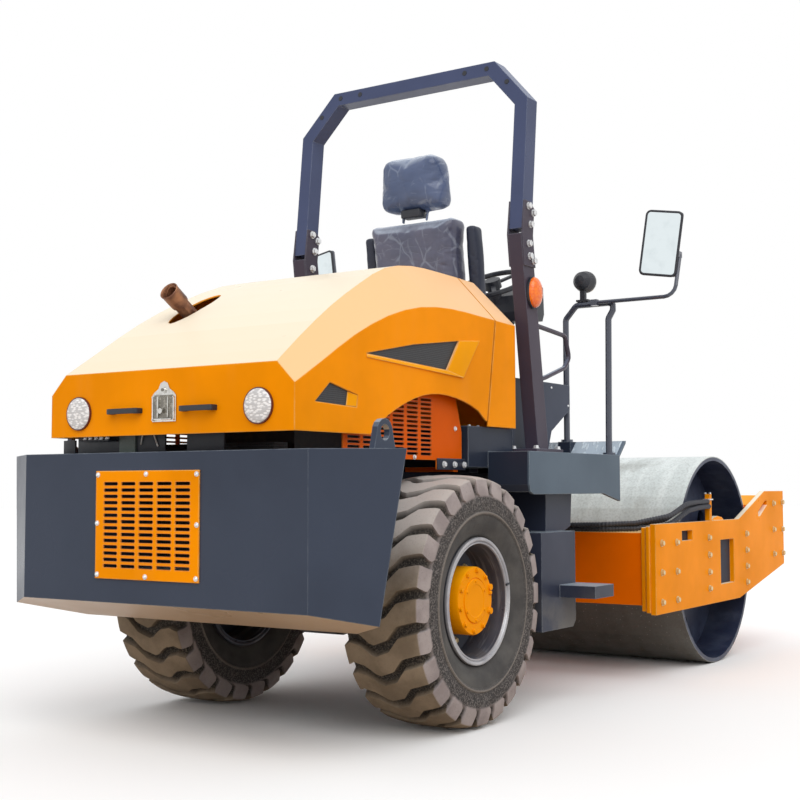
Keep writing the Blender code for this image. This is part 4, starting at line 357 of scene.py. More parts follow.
class Groups:
    """The shader groups that several finishes share, each built once."""

    _made: dict[str, bpy.types.NodeTree] = {}

    @classmethod
    def begin(cls, name: str, inputs: Iterable[tuple[str, str, object]],
              outputs: Iterable[tuple[str, str]]) -> GroupTree:
        """Start a group with its named sockets.

        Args:
            name: The group's name.
            inputs: The name, type and first value of each input.
            outputs: The name and type of each output.

        Returns:
            The group's tree.
        """
        group = bpy.data.node_groups.new(name, "ShaderNodeTree")
        for label, kind, value in inputs:
            socket = group.interface.new_socket(label, in_out="INPUT", socket_type="NodeSocket" + kind)
            socket.default_value = (*value, 1.0) if kind == "Color" else value
        for label, kind in outputs:
            group.interface.new_socket(label, in_out="OUTPUT", socket_type="NodeSocket" + kind)
        cls._made[name] = group
        return GroupTree(group)

    @classmethod
    def use(cls, tree: Tree, name: str, **values: object) -> bpy.types.Node:
        """Place a group in a tree with its values, where _ in a key stands for a space.

        Args:
            tree: The material's tree.
            name: The group's name.
            values: The inputs' values.

        Returns:
            The group's node.
        """
        made = tree.node("Group", node_tree=cls._made.get(name) or getattr(cls, name)())
        for key, value in values.items():
            tree.put(made.inputs[key.replace("_", " ")], value)
        return made

    @classmethod
    def enamel(cls) -> bpy.types.NodeTree:
        """Sprayed enamel: painted sky sheen where it looks up, dusty near the ground, the dust colour as
        painted ground bounce where it looks down, and edges rubbed and lit by a painted highlight.

        Returns:
            The group.
        """
        white = (1.0, 1.0, 1.0)
        tree = cls.begin(
            "enamel",
            (("Paint", "Color", white), ("Sloped", "Color", white), ("Level", "Color", white),
             ("Dust", "Color", white), ("Dust Height", "Float", 0.6), ("Dust Amount", "Float", 0.3),
             ("Edge", "Color", white), ("Edge Amount", "Float", 0.4), ("Round", "Float", 0.003)),
            (("Color", "Color"), ("Gloss", "Float"), ("Height", "Float"), ("Normal", "Vector")),
        )
        enter, leave = tree.enter.outputs, tree.leave.inputs
        where, normal = tree.place()
        up = tree.parts(normal)[2]
        height = tree.parts(where)[2]
        cloud = tree.noise(where, 1.7, 4.0)
        speck = tree.noise(where, 85.0, 2.0)
        smear = tree.noise(tree.stretched(where, (9.0, 9.0, 1.1)), 1.0, 3.0)
        colour = tree.mix(tree.span(cloud, 0.35, 0.70, 0.0, 0.16), enter["Paint"], (0.0, 0.0, 0.0))
        colour = tree.mix(tree.span(smear, 0.50, 0.78, 0.0, 0.025), colour, enter["Sloped"])
        # Faces that slope up and faces that look straight up take paler colours: painted sky sheen.
        colour = tree.mix(tree.span(up, 0.38, 0.62), colour, enter["Sloped"])
        colour = tree.mix(tree.span(up, 0.74, 0.86), colour, enter["Level"])
        low = tree.span(height, enter["Dust Height"], tree.times(enter["Dust Height"], 0.25))
        patch = tree.span(tree.noise(where, 6.5, 5.0), 0.30, 0.66)
        dust = tree.times(tree.times(low, patch), enter["Dust Amount"], True)
        colour = tree.mix(dust, colour, enter["Dust"])
        # Faces that look down take the dust colour: painted light bounced up from the ground.
        painted_bounce = tree.times(tree.span(up, -0.20, -0.60), tree.times(enter["Dust Amount"], 0.9))
        colour = tree.mix(painted_bounce, colour, enter["Dust"])
        soft = tree.node("Bevel", samples=4)
        tree.put(soft.inputs["Radius"], enter["Round"])
        face = tree.node("NewGeometry")
        turn = tree.node("VectorMath", operation="DOT_PRODUCT")
        tree.put(turn.inputs[0], soft.outputs[0])
        tree.put(turn.inputs[1], face.outputs["Normal"])
        edge = tree.span(turn.outputs["Value"], 0.995, 0.88)
        # Edges lighten towards the edge colour: wear, and a painted highlight where they catch the light.
        rub_and_highlight = tree.times(edge, tree.span(tree.noise(where, 14.0, 3.0), 0.32, 0.58, 0.35, 1.0))
        colour = tree.mix(tree.times(rub_and_highlight, enter["Edge Amount"], True), colour, enter["Edge"])
        gloss = tree.plus(tree.span(cloud, 0.3, 0.7, 0.26, 0.40), tree.times(dust, 0.4))
        peel = tree.plus(tree.noise(where, 260.0, 1.0), tree.times(speck, 0.5))
        tree.put(leave["Color"], colour)
        tree.put(leave["Gloss"], gloss)
        tree.put(leave["Height"], peel)
        tree.put(leave["Normal"], soft.outputs[0])
        return cls._made["enamel"]

    @classmethod
    def grit(cls) -> bpy.types.NodeTree:
        """Fine grain with scattered darker and lighter specks, for rubber, plastic and bare metal.

        Returns:
            The group.
        """
        tree = cls.begin(
            "grit",
            (("Base", "Color", (0.5, 0.5, 0.5)), ("Speck", "Color", (0.5, 0.5, 0.5)),
             ("Scale", "Float", 60.0), ("Amount", "Float", 0.5)),
            (("Color", "Color"), ("Mask", "Float"), ("Height", "Float")),
        )
        enter, leave = tree.enter.outputs, tree.leave.inputs
        where, _ = tree.place()
        grain = tree.noise(where, enter["Scale"], 4.0, 0.65)
        broad = tree.noise(where, tree.times(enter["Scale"], 0.11), 3.0)
        mask = tree.times(tree.span(grain, 0.46, 0.66), tree.span(broad, 0.35, 0.62, 0.25, 1.0))
        share = tree.times(mask, enter["Amount"], True)
        tree.put(leave["Color"], tree.mix(share, enter["Base"], enter["Speck"]))
        tree.put(leave["Mask"], mask)
        tree.put(leave["Height"], grain)
        return cls._made["grit"]


# Finishes


@dataclass(frozen=True)
class Finish:
    """A named finish; its material is made once and shared.

    Attributes:
        label: The material's name.
    """

    label: str

    def material(self) -> bpy.types.Material:
        """Return the finish's material, made on its first use.

        Returns:
            The material.
        """
        found = bpy.data.materials.get(self.label)
        if found:
            return found
        made = bpy.data.materials.new(self.label)
        made.use_nodes = True
        tree = Tree(made.node_tree)
        self.dress(tree, made.node_tree.nodes["Principled BSDF"])
        return made

    def dress(self, tree: Tree, shader: bpy.types.Node) -> None:
        """Add the finish's nodes before its shader."""
        raise NotImplementedError

    @staticmethod
    def feed(tree: Tree, shader: bpy.types.Node, colour: object, rough: object, **plain: float) -> None:
        """Feed a shader's colour and roughness, and set its plain sockets, where _ stands for a space.

        Args:
            tree: The tree that takes the nodes.
            shader: The shader that they feed.
            colour: The base colour.
            rough: The roughness.
            plain: The plain sockets' values.
        """
        tree.put(shader.inputs["Base Color"], colour)
        tree.put(shader.inputs["Roughness"], rough)
        for key, value in plain.items():
            shader.inputs[key.replace("_", " ")].default_value = value

    @staticmethod
    def bump(tree: Tree, shader: bpy.types.Node, height: object, depth: float, strength: float = 0.6,
             normal: object = None) -> None:
        """Raise a height on the shader's normal.

        Args:
            tree: The tree that takes the nodes.
            shader: The shader that they feed.
            height: The height.
            depth: The relief's depth in metres.
            strength: The bump's strength.
            normal: The normal to start from.
        """
        made = tree.node("Bump")
        made.inputs["Strength"].default_value = strength
        made.inputs["Distance"].default_value = depth
        tree.put(made.inputs["Height"], height)
        if normal:
            tree.put(made.inputs["Normal"], normal)
        tree.put(shader.inputs["Normal"], made.outputs[0])


@dataclass(frozen=True)
class Enamel(Finish):
    """Sprayed machine paint, with painted sky sheen on the faces that look up, painted ground bounce on those
    that look down, and a painted highlight along its edges.
    """

    paint: Colour = (0.5, 0.5, 0.5)
    # The sloped and level colours are painted sky sheen.
    sloped_sheen: Colour = (0.5, 0.5, 0.5)
    level: Colour = (0.5, 0.5, 0.5)
    # The edge colour is edge wear and a painted highlight.
    edge: Colour = (0.9, 0.9, 0.9)
    edge_amount: float = 0.45
    # The dust colour is real dust near the ground, and painted ground bounce on faces that look down.
    dust: Colour = (0.30, 0.25, 0.20)
    dust_height: float = 0.60
    dust_amount: float = 0.45
    rounding: float = 0.006
    coat: float = 0.05
    specular: float = 0.12

    def coloured(self, tree: Tree) -> object:
        """The paint's own colour."""
        return self.paint

    def dress(self, tree: Tree, shader: bpy.types.Node) -> None:
        """Add the paint's nodes.

        Args:
            tree: The tree that takes the nodes.
            shader: The shader that they feed.
        """
        group = Groups.use(
            tree, "enamel", Paint=self.coloured(tree), Sloped=self.sloped_sheen, Level=self.level, Dust=self.dust,
            Dust_Height=self.dust_height, Dust_Amount=self.dust_amount, Edge=self.edge,
            Edge_Amount=self.edge_amount, Round=self.rounding,
        )
        self.feed(tree, shader, group.outputs["Color"], group.outputs["Gloss"], Coat_Weight=self.coat,
                  Coat_Roughness=0.08, Specular_IOR_Level=self.specular)
        self.bump(tree, shader, group.outputs["Height"], 0.0002, 0.35, group.outputs["Normal"])


@dataclass(frozen=True)
class ShadedDeckEnamel(Enamel):
    """The deck's paint in two copies: a paler grey on the lit outer skirts, and a darker one on what stands
    between them as painted shade.
    """

    outer: Colour = (0.088, 0.130, 0.180)
    lit_skirt_y: float = 0.826

    def coloured(self, tree: Tree) -> object:
        """The paint's colour by the distance from the machine's middle: darker inside the skirts as painted
        shade.

        Args:
            tree: The tree that takes the nodes.

        Returns:
            The colour's socket.
        """
        where, _ = tree.place()
        reach = tree.maths("ABSOLUTE", tree.parts(where)[1])
        # Inside the skirts the darker copy paints the shade; on the skirts the paler copy paints the light.
        return tree.mix(tree.maths("GREATER_THAN", reach, self.lit_skirt_y), self.paint, self.outer)


@dataclass(frozen=True)
class Gritty(Finish):
    """Rubber, plastic or metal with a grain and scattered specks."""

    base: Colour = (0.1, 0.1, 0.1)
    speck: Colour = (0.2, 0.2, 0.2)
    scale: float = 60.0
    amount: float = 0.5
    rough: float = 0.6
    metal: float = 0.0
    depth: float = 0.0006
    coat: float = 0.0

    def dress(self, tree: Tree, shader: bpy.types.Node) -> None:
        """Add the grain's nodes.

        Args:
            tree: The tree that takes the nodes.
            shader: The shader that they feed.
        """
        group = Groups.use(tree, "grit", Base=self.base, Speck=self.speck, Scale=self.scale,
                           Amount=self.amount)
        spread = tree.span(group.outputs["Mask"], 0.0, 1.0, self.rough, min(self.rough + 0.2, 1.0))
        self.feed(tree, shader, group.outputs["Color"], spread, Metallic=self.metal, Coat_Weight=self.coat)
        self.bump(tree, shader, group.outputs["Height"], self.depth)


@dataclass(frozen=True)
class RimPaint(Finish):
    """Silver rim paint: bright on the rolled lip, and within the well a darker copy as painted shade, dull
    and streaked.
    """

    lip: Colour = (0.46, 0.46, 0.48)
    # The well's colour is a darker copy of the silver: painted shade.
    well: Colour = (0.085, 0.092, 0.120)
    lip_y: float = 0.8040

    def dress(self, tree: Tree, shader: bpy.types.Node) -> None:
        """Add the two paints and their streaks.

        Args:
            tree: The tree that takes the nodes.
            shader: The shader that they feed.
        """
        where, _ = tree.place()
        reach = tree.maths("ABSOLUTE", tree.parts(where)[1])
        cloud = tree.noise(where, 9.0, 4.0)
        streak = tree.noise(tree.stretched(where, (5.0, 70.0, 5.0)), 1.0, 3.0)
        well = tree.mix(tree.span(streak, 0.50, 0.66, 0.0, 0.6), self.well, (0.26, 0.27, 0.30))
        well = tree.mix(tree.span(cloud, 0.45, 0.70, 0.0, 0.5), well, (0.120, 0.105, 0.095))
        lip = tree.mix(tree.span(cloud, 0.35, 0.70, 0.0, 0.6), self.lip, (0.24, 0.24, 0.27))
        # The well takes the darker copy as painted shade; the lip keeps the bright silver.
        colour = tree.mix(tree.span(reach, self.lip_y - 0.002, self.lip_y + 0.002), well, lip)
        self.feed(tree, shader, colour, tree.span(cloud, 0.3, 0.7, 0.26, 0.50), Metallic=0.4)
        self.bump(tree, shader, streak, 0.0003)


@dataclass(frozen=True)
class DrumSteel(Finish):
    """Rolled drum steel: pale, with a brushed band, rust blooms, and painted shade darkening its lower half.
    """

    axle_x: float = 2.60
    radius: float = 0.600

    def dress(self, tree: Tree, shader: bpy.types.Node) -> None:
        """Add the steel's nodes.

        Args:
            tree: The tree that takes the nodes.
            shader: The shader that they feed.
        """
        where, _ = tree.place()
        moved = tree.stretched(where, (1.0, 1.0, 1.0), (MIDDLE - self.axle_x, 0.0, -self.radius))
        x, y, z = tree.parts(moved)
        reach = tree.maths("SQRT", tree.plus(tree.times(x, x), tree.times(z, z)))
        outside = tree.span(reach, self.radius - 0.008, self.radius - 0.002)
        rings = tree.noise(tree.stretched(where, (2.5, 16.0, 2.5)), 1.0, 3.0)
        bloom = tree.span(tree.noise(where, 3.3, 5.0), 0.50, 0.72)
        mark = tree.span(tree.cells(where, 42.0), 0.16, 0.05)
        grain = tree.noise(where, 75.0, 5.0, 0.7)
        skin = tree.mix(tree.span(rings, 0.35, 0.65), (0.680, 0.740, 0.735), (0.790, 0.850, 0.845))
        skin = tree.mix(tree.span(grain, 0.42, 0.68, 0.0, 0.30), skin, (0.200, 0.205, 0.195))
        skin = tree.mix(tree.times(bloom, 0.30), skin, (0.190, 0.155, 0.120))
        # The steel darkens towards the drum's bottom: painted shade.
        painted_low_shade = tree.span(tree.plus(z, tree.times(bloom, 0.1)), 0.52, -0.22)
        skin = tree.mix(tree.times(painted_low_shade, 0.88), skin, (0.062, 0.057, 0.048))
        skin = tree.mix(tree.times(mark, 0.45), skin, (0.70, 0.69, 0.64))
        patches = tree.span(tree.noise(where, 7.0, 4.0), 0.4, 0.7)
        within = tree.mix(patches, (0.018, 0.026, 0.060), (0.045, 0.060, 0.105))
        self.feed(tree, shader, tree.mix(outside, within, skin), tree.span(bloom, 0.0, 1.0, 0.42, 0.75))
        tree.put(shader.inputs["Metallic"], tree.times(outside, 0.20))
        height = tree.plus(rings, tree.times(tree.noise(where, 120.0, 3.0), 0.8))
        self.bump(tree, shader, height, 0.0008, 0.5)


@dataclass(frozen=True)
class TyreRubber(Finish):
    """Dusty tyre rubber: earth on the lugs, a tread that pales towards the top as painted light, dark
    grooves, and a speckled side wall.
    """

    def dress(self, tree: Tree, shader: bpy.types.Node) -> None:
        """Add the rubber's nodes.

        Args:
            tree: The tree that takes the nodes.
            shader: The shader that they feed.
        """
        where, _ = tree.place()
        zone = tree.node("Attribute", attribute_name="lug").outputs["Fac"]
        reach = tree.node("Attribute", attribute_name="reach").outputs["Fac"]
        grain = tree.noise(where, 135.0, 5.0, 0.7)
        cloud = tree.noise(where, 7.0, 4.0)
        # The tread pales towards the tyre's top: painted light.
        painted_top_light = tree.span(tree.plus(tree.parts(where)[2], tree.times(cloud, 0.2)), 0.66, 1.02)
        tread = tree.mix(tree.span(cloud, 0.35, 0.68), (0.185, 0.142, 0.098), (0.290, 0.232, 0.168))
        block = tree.mix(tree.span(cloud, 0.35, 0.68), (0.270, 0.232, 0.232), (0.390, 0.345, 0.342))
        tread = tree.mix(tree.times(painted_top_light, 0.85), tread, (0.540, 0.510, 0.490))
        lug = tree.mix(tree.span(reach, 0.513, 0.521), block, tread)
        lug = tree.mix(tree.span(grain, 0.54, 0.72, 0.0, 0.35), lug, (0.10, 0.085, 0.075))
        groove = tree.mix(tree.span(grain, 0.45, 0.62), (0.022, 0.019, 0.017), (0.110, 0.095, 0.080))
        outer = tree.mix(zone, groove, lug)
        speck = tree.mix(tree.span(grain, 0.47, 0.60), (0.040, 0.037, 0.037), (0.165, 0.150, 0.145))
        plain = tree.mix(tree.span(cloud, 0.3, 0.7), (0.050, 0.048, 0.048), (0.105, 0.102, 0.098))
        side = tree.mix(tree.span(reach, 0.345, 0.400), plain, speck)
        ridge = tree.times(tree.span(reach, 0.3675, 0.3735), tree.span(reach, 0.3835, 0.3775))
        side = tree.mix(tree.times(ridge, 0.5), side, (0.300, 0.265, 0.235))
        colour = tree.mix(tree.span(reach, 0.438, 0.452), side, outer)
        self.feed(tree, shader, colour, tree.span(cloud, 0.3, 0.7, 0.72, 0.92), Specular_IOR_Level=0.3)
        self.bump(tree, shader, grain, 0.0016, 0.8)


@dataclass(frozen=True)
class WrappedVinyl(Finish):
    """Seat vinyl under its clear dust film, with painted highlights on the film's folds and a painted sky
    sheen on faces that look up.
    """

    base: Colour = (0.060, 0.066, 0.118)
    worn: Colour = (0.110, 0.104, 0.160)

    def dress(self, tree: Tree, shader: bpy.types.Node) -> None:
        """Add the vinyl and film.

        Args:
            tree: The tree that takes the nodes.
            shader: The shader that they feed.
        """
        where, normal = tree.place()
        up = tree.parts(normal)[2]
        bent = tree.node("VectorMath", operation="MULTIPLY_ADD")
        drift = tree.node("TexNoise")
        tree.put(drift.inputs["Vector"], where)
        drift.inputs["Scale"].default_value = 10.0
        tree.put(bent.inputs[0], drift.outputs["Color"])
        bent.inputs[1].default_value = (0.05, 0.05, 0.05)
        tree.put(bent.inputs[2], where)
        long_gap = tree.cells(tree.stretched(bent.outputs[0], (2.0, 13.0, 6.0)), 1.0, "DISTANCE_TO_EDGE")
        short = tree.stretched(bent.outputs[0], (5.0, 9.0, 26.0), (3.0, 1.0, 2.0))
        short_gap = tree.cells(short, 1.0, "DISTANCE_TO_EDGE")
        cloud = tree.noise(where, 5.0, 3.0)
        patch = tree.span(tree.noise(where, 9.0, 2.0), 0.46, 0.60)
        # Thin lines along the film's folds lighten into painted highlights.
        crease_glint = tree.times(tree.span(long_gap, 0.055, 0.005), patch)
        here = tree.span(tree.noise(where, 12.0, 1.0), 0.52, 0.62)
        nick_glint = tree.times(tree.span(short_gap, 0.045, 0.005), here)
        colour = tree.mix(tree.span(cloud, 0.3, 0.7, 0.0, 0.6), self.base, self.worn)
        # Faces that look up pale towards blue-grey: painted sky sheen.
        colour = tree.mix(tree.span(up, 0.35, 0.90, 0.0, 0.70), colour, (0.58, 0.66, 0.78))
        # Convex edges take a painted highlight too.
        glint = tree.maths("MAXIMUM", crease_glint, tree.times(nick_glint, 0.4))
        point = tree.node("NewGeometry").outputs["Pointiness"]
        glint = tree.maths("MAXIMUM", glint, tree.times(tree.span(point, 0.510, 0.535), 0.8))
        self.feed(tree, shader, tree.mix(tree.times(glint, 0.17), colour, (0.62, 0.72, 0.88)),
                  tree.span(glint, 0.0, 1.0, 0.45, 0.20), Coat_Weight=0.5, Coat_Roughness=0.10)
        facet = tree.plus(tree.span(long_gap, 0.0, 0.35), tree.times(tree.span(short_gap, 0.0, 0.3), 0.4))
        self.bump(tree, shader, facet, 0.0032, 0.8)


@dataclass(frozen=True)
class Facets(Finish):
    """A moulded lamp lens: rows of small prisms on a base colour; the clear lens's pale base is a painted
    reflection of the reflector behind it.
    """

    base: Colour = (0.80, 0.82, 0.80)
    dark: Colour = (0.30, 0.30, 0.29)
    rows: Point = (70.0, 34.0, 95.0)

    def dress(self, tree: Tree, shader: bpy.types.Node) -> None:
        """Add the prisms.

        Args:
            tree: The tree that takes the nodes.
            shader: The shader that they feed.
        """
        where, _ = tree.place()
        cell = tree.cells(tree.stretched(where, self.rows), 1.0)
        line = tree.span(cell, 0.25, 0.62)
        self.feed(tree, shader, tree.mix(tree.times(line, 0.75), self.base, self.dark), 0.16,
                  Coat_Weight=0.35, Coat_Roughness=0.03)
        self.bump(tree, shader, cell, 0.002, 0.8)


@dataclass(frozen=True)
class HeatedPipe(Finish):
    """Exhaust steel, browned by heat, in clouds of a darker and a lighter brown."""

    def dress(self, tree: Tree, shader: bpy.types.Node) -> None:
        """Add the heat colours.

        Args:
            tree: The tree that takes the nodes.
            shader: The shader that they feed.
        """
        where, _ = tree.place()
        cloud = tree.noise(where, 14.0, 4.0)
        colour = tree.mix(tree.span(cloud, 0.32, 0.70), (0.120, 0.050, 0.035), (0.400, 0.190, 0.100))
        self.feed(tree, shader, colour, tree.span(cloud, 0.3, 0.7, 0.35, 0.6), Metallic=0.5)
        self.bump(tree, shader, tree.noise(where, 180.0, 3.0), 0.0006)


@dataclass(frozen=True)
class Mesh(Finish):
    """Dark woven wire mesh or a radiator core, as a fine crossed pattern."""

    pitch: float = 0.006

    def dress(self, tree: Tree, shader: bpy.types.Node) -> None:
        """Add the weave.

        Args:
            tree: The tree that takes the nodes.
            shader: The shader that they feed.
        """
        where, _ = tree.place()
        x, y, z = tree.parts(tree.stretched(where, (math.tau / self.pitch,) * 3))
        across = tree.maths("SINE", tree.plus(x, y))
        upright = tree.maths("SINE", z)
        weave = tree.maths("MAXIMUM", across, upright)
        mask = tree.span(weave, 0.35, 0.85)
        self.feed(tree, shader, tree.mix(mask, (0.004, 0.004, 0.005), (0.040, 0.042, 0.048)), 0.55)
        self.bump(tree, shader, mask, 0.001)


@dataclass(frozen=True)
class MirrorGlass(Finish):
    """Silvered glass with a faint film of dust."""

    def dress(self, tree: Tree, shader: bpy.types.Node) -> None:
        """Add the dust.

        Args:
            tree: The tree that takes the nodes.
            shader: The shader that they feed.
        """
        where, _ = tree.place()
        film = tree.span(tree.noise(where, 18.0, 5.0), 0.45, 0.75)
        self.feed(tree, shader, tree.mix(film, (0.78, 0.85, 0.87), (0.72, 0.79, 0.81)),
                  tree.span(film, 0.0, 1.0, 0.02, 0.10), Metallic=1.0)


@dataclass(frozen=True)
class TreadPlate(Finish):
    """Painted floor plate with raised lozenges, lighter on their tops; its pale blue-grey is painted sky
    sheen on the level plates.
    """

    # The pale blue-grey base is painted sky sheen on level plates.
    base: Colour = (0.50, 0.60, 0.70)

    def dress(self, tree: Tree, shader: bpy.types.Node) -> None:
        """Add the lozenges.

        Args:
            tree: The tree that takes the nodes.
            shader: The shader that they feed.
        """
        where, _ = tree.place()
        turned = tree.node("Mapping")
        tree.put(turned.inputs["Vector"], where)
        turned.inputs["Rotation"].default_value = (0.0, 0.0, math.radians(45.0))
        turned.inputs["Scale"].default_value = (26.0, 52.0, 1.0)
        cell = tree.cells(turned.outputs[0], 1.0)
        bump = tree.span(cell, 0.46, 0.30)
        cloud = tree.noise(where, 5.0, 4.0)
        colour = tree.mix(tree.span(cloud, 0.3, 0.7, 0.0, 0.5), self.base, (0.36, 0.41, 0.47))
        self.feed(tree, shader, tree.mix(bump, colour, (0.64, 0.74, 0.82)),
                  tree.span(bump, 0.0, 1.0, 0.5, 0.3))
        self.bump(tree, shader, bump, 0.002, 0.9)


RUST_DUST = (0.500, 0.170, 0.020)
# In each enamel here, the second and third colours are painted sky sheen, and the edge colour is wear with a
# painted highlight.
ORANGE = Enamel("orange enamel", (1.000, 0.322, 0.000), (0.960, 0.580, 0.300), (0.900, 0.800, 0.640),
                (1.000, 0.620, 0.200), 0.75, RUST_DUST, dust_amount=0.10, rounding=0.008,
                coat=0.0, specular=0.03)
# A lighter copy of the orange: painted light on the windows' sloping surrounds.
SURROUND_LIT = Enamel("surround enamel painted light", (1.000, 0.395, 0.002), (1.000, 0.600, 0.250), (1.000, 0.760, 0.480),
                  (1.000, 0.700, 0.300), 0.70, RUST_DUST, dust_amount=0.10, coat=0.0, specular=0.03)
# A redder, darker copy of the orange: painted shade on the beams.
BEAM_SHADE_ORANGE = Enamel("beam enamel painted shade", (0.980, 0.170, 0.000), (0.950, 0.420, 0.060), (1.000, 0.640, 0.260),
                     (1.000, 0.520, 0.120), 0.60, RUST_DUST, dust_amount=0.15, rounding=0.008,
                     coat=0.0, specular=0.03)
# A darker, redder copy of the orange: painted shade on the side panels.
PANEL_SHADE_ORANGE = Enamel("panel enamel painted shade", (0.700, 0.105, 0.001), (0.950, 0.420, 0.060), (1.000, 0.640, 0.260),
                      (0.950, 0.420, 0.080), 0.60, RUST_DUST, dust_amount=0.10, coat=0.0, specular=0.03)
# The two slot rim finishes are darker copies of their plates' orange: painted shade at the slots' edges.
SLOT_RIM_SHADE = Gritty("slot rim enamel painted shade", (0.750, 0.215, 0.001), (0.980, 0.420, 0.080), 120.0, 0.4, 0.55)
PANEL_RIM_SHADE = Gritty("panel rim enamel painted shade", (0.300, 0.045, 0.001), (0.700, 0.150, 0.010), 120.0, 0.4, 0.55)
HUB_ORANGE = Enamel("hub enamel", (0.980, 0.340, 0.000), (0.980, 0.370, 0.002), (1.000, 0.400, 0.005),
                    (1.000, 0.520, 0.040), 0.45, RUST_DUST, dust_amount=0.05, rounding=0.002,
                    coat=0.0, specular=0.03)
SLATE = Enamel("slate enamel", (0.044, 0.056, 0.094), (0.110, 0.140, 0.190), (0.300, 0.360, 0.420),
               (0.340, 0.390, 0.450), 0.60, dust=(0.300, 0.240, 0.180), dust_amount=0.55)
TAIL_SLATE = Enamel("tail enamel", (0.046, 0.060, 0.094), (0.110, 0.140, 0.190), (0.300, 0.360, 0.420),
                    (0.340, 0.390, 0.450), 0.60, dust=(0.640, 0.470, 0.310), dust_height=0.50,
                    dust_amount=0.95)
TANK_SLATE = Enamel("tank enamel", (0.036, 0.044, 0.074), (0.110, 0.140, 0.190), (0.300, 0.360, 0.420),
                    (0.340, 0.390, 0.450), 0.60, dust=(0.230, 0.220, 0.195), dust_height=0.66,
                    dust_amount=0.85)
# A lit copy on the skirts and a darker copy between them as painted shade.
SKIRT_AND_SHADE_SLATE = ShadedDeckEnamel("skirt enamel with painted shade", (0.026, 0.034, 0.056), (0.130, 0.170, 0.220), (0.330, 0.400, 0.460),
                         (0.400, 0.470, 0.530), 0.60, dust=(0.200, 0.185, 0.165), dust_amount=0.20)
DARK_SLATE = Enamel("dark slate enamel", (0.022, 0.026, 0.044), (0.060, 0.075, 0.110), (0.110, 0.135, 0.180),
                    (0.200, 0.230, 0.290), 0.35, dust=(0.140, 0.125, 0.110), dust_amount=0.35)
# The posts and the hoop are one paint: the posts' darker, browner copy is painted shade, and the hoop's bluer
# copy is painted sky light.
POST_SHADE_SLATE = Enamel("post enamel painted shade", (0.066, 0.054, 0.080), (0.100, 0.110, 0.160), (0.260, 0.300, 0.370),
                    (0.240, 0.270, 0.340), 0.55, dust_amount=0.10)
HOOP_SKY_SLATE = Enamel("hoop enamel painted sky light", (0.066, 0.086, 0.176), (0.120, 0.150, 0.250), (0.300, 0.350, 0.450),
                    (0.300, 0.350, 0.470), 0.60, dust_amount=0.0)
PLASTIC = Gritty("black plastic grain", (0.016, 0.018, 0.026), (0.034, 0.036, 0.046), 240.0, 0.5, 0.42)
CASING = Gritty("dark machinery", (0.020, 0.020, 0.023), (0.075, 0.062, 0.050), 40.0, 0.7, 0.60)
# Near-black sheets that paint the shade seen through openings.
SHADE_SHEET = Gritty("painted shade sheet", (0.010, 0.014, 0.032), (0.050, 0.030, 0.018), 22.0, 0.8, 0.7)
ZINC = Gritty("zinc bolts", (0.80, 0.82, 0.84), (0.36, 0.34, 0.32), 160.0, 0.6, 0.28, 0.6, 0.0003)
GOLD = Gritty("passivated bolts", (0.72, 0.58, 0.32), (0.28, 0.17, 0.07), 160.0, 0.6, 0.32, 0.6, 0.0003)
SILVER = RimPaint("silver rim paint")
PALE_BOX = Gritty("pale box plastic", (0.40, 0.50, 0.60), (0.30, 0.36, 0.42), 60.0, 0.5, 0.4)
SHELF_GREEN = Gritty("green-grey primer", (0.130, 0.165, 0.150), (0.20, 0.23, 0.22), 60.0, 0.5, 0.5)
WIRE_WHITE = Gritty("pale cable sheath", (0.72, 0.72, 0.70), (0.40, 0.40, 0.38), 90.0, 0.4, 0.4)
# The wheel disc's dark paint is painted shade deep inside the wheel.
DISC_SHADE = Gritty("disc painted shade", (0.026, 0.032, 0.052), (0.060, 0.062, 0.075), 45.0, 0.5, 0.50)
CHROME = Gritty("chromed metal", (0.66, 0.65, 0.62), (0.30, 0.28, 0.25), 60.0, 0.7, 0.10, 1.0, 0.0004)
LATCH_WELL = Gritty("oiled latch steel", (0.200, 0.190, 0.165), (0.52, 0.50, 0.44), 55.0, 0.6, 0.25, 0.4,
                    0.0003)
TUBE_BLACK = Gritty("black tube paint", (0.050, 0.060, 0.092), (0.090, 0.095, 0.115), 120.0, 0.4, 0.28, 0.0,
                    0.0002, 0.5)
HOSE_BLACK = Gritty("hose rubber grain", (0.022, 0.024, 0.034), (0.085, 0.085, 0.095), 90.0, 0.5, 0.45)
RED_RING = Gritty("dark lamp ring", (0.120, 0.020, 0.016), (0.05, 0.02, 0.02), 90.0, 0.4, 0.35)
# The clear lens's pale base is a painted reflection of the lamp's reflector.
LENS_PAINTED_REFLECTION = Facets("clear lens prisms painted reflection", (0.94, 0.95, 0.97), (0.44, 0.44, 0.46), (60.0, 52.0, 120.0))
AMBER_LENS = Facets("amber lens prisms", (1.000, 0.215, 0.004), (0.880, 0.140, 0.002), (60.0, 60.0, 60.0))
VINYL = WrappedVinyl("wrapped seat vinyl")
ARM_VINYL = Gritty("armrest vinyl", (0.016, 0.022, 0.046), (0.036, 0.042, 0.070), 130.0, 0.5, 0.45)
HEAD_VINYL = WrappedVinyl("wrapped headrest vinyl", (0.040, 0.068, 0.160), (0.085, 0.120, 0.235))
DRUM_STEEL = DrumSteel("rolled drum steel")
TYRE_RUBBER = TyreRubber("dusty tyre rubber")
PIPE = HeatedPipe("heated pipe steel")
WIRE = Mesh("window wire mesh", 0.008)
CORE = Mesh("radiator core", 0.012)
GLASS = MirrorGlass("mirror glass")
SHEEN_PLATE = TreadPlate("floor plate")


# Shapes


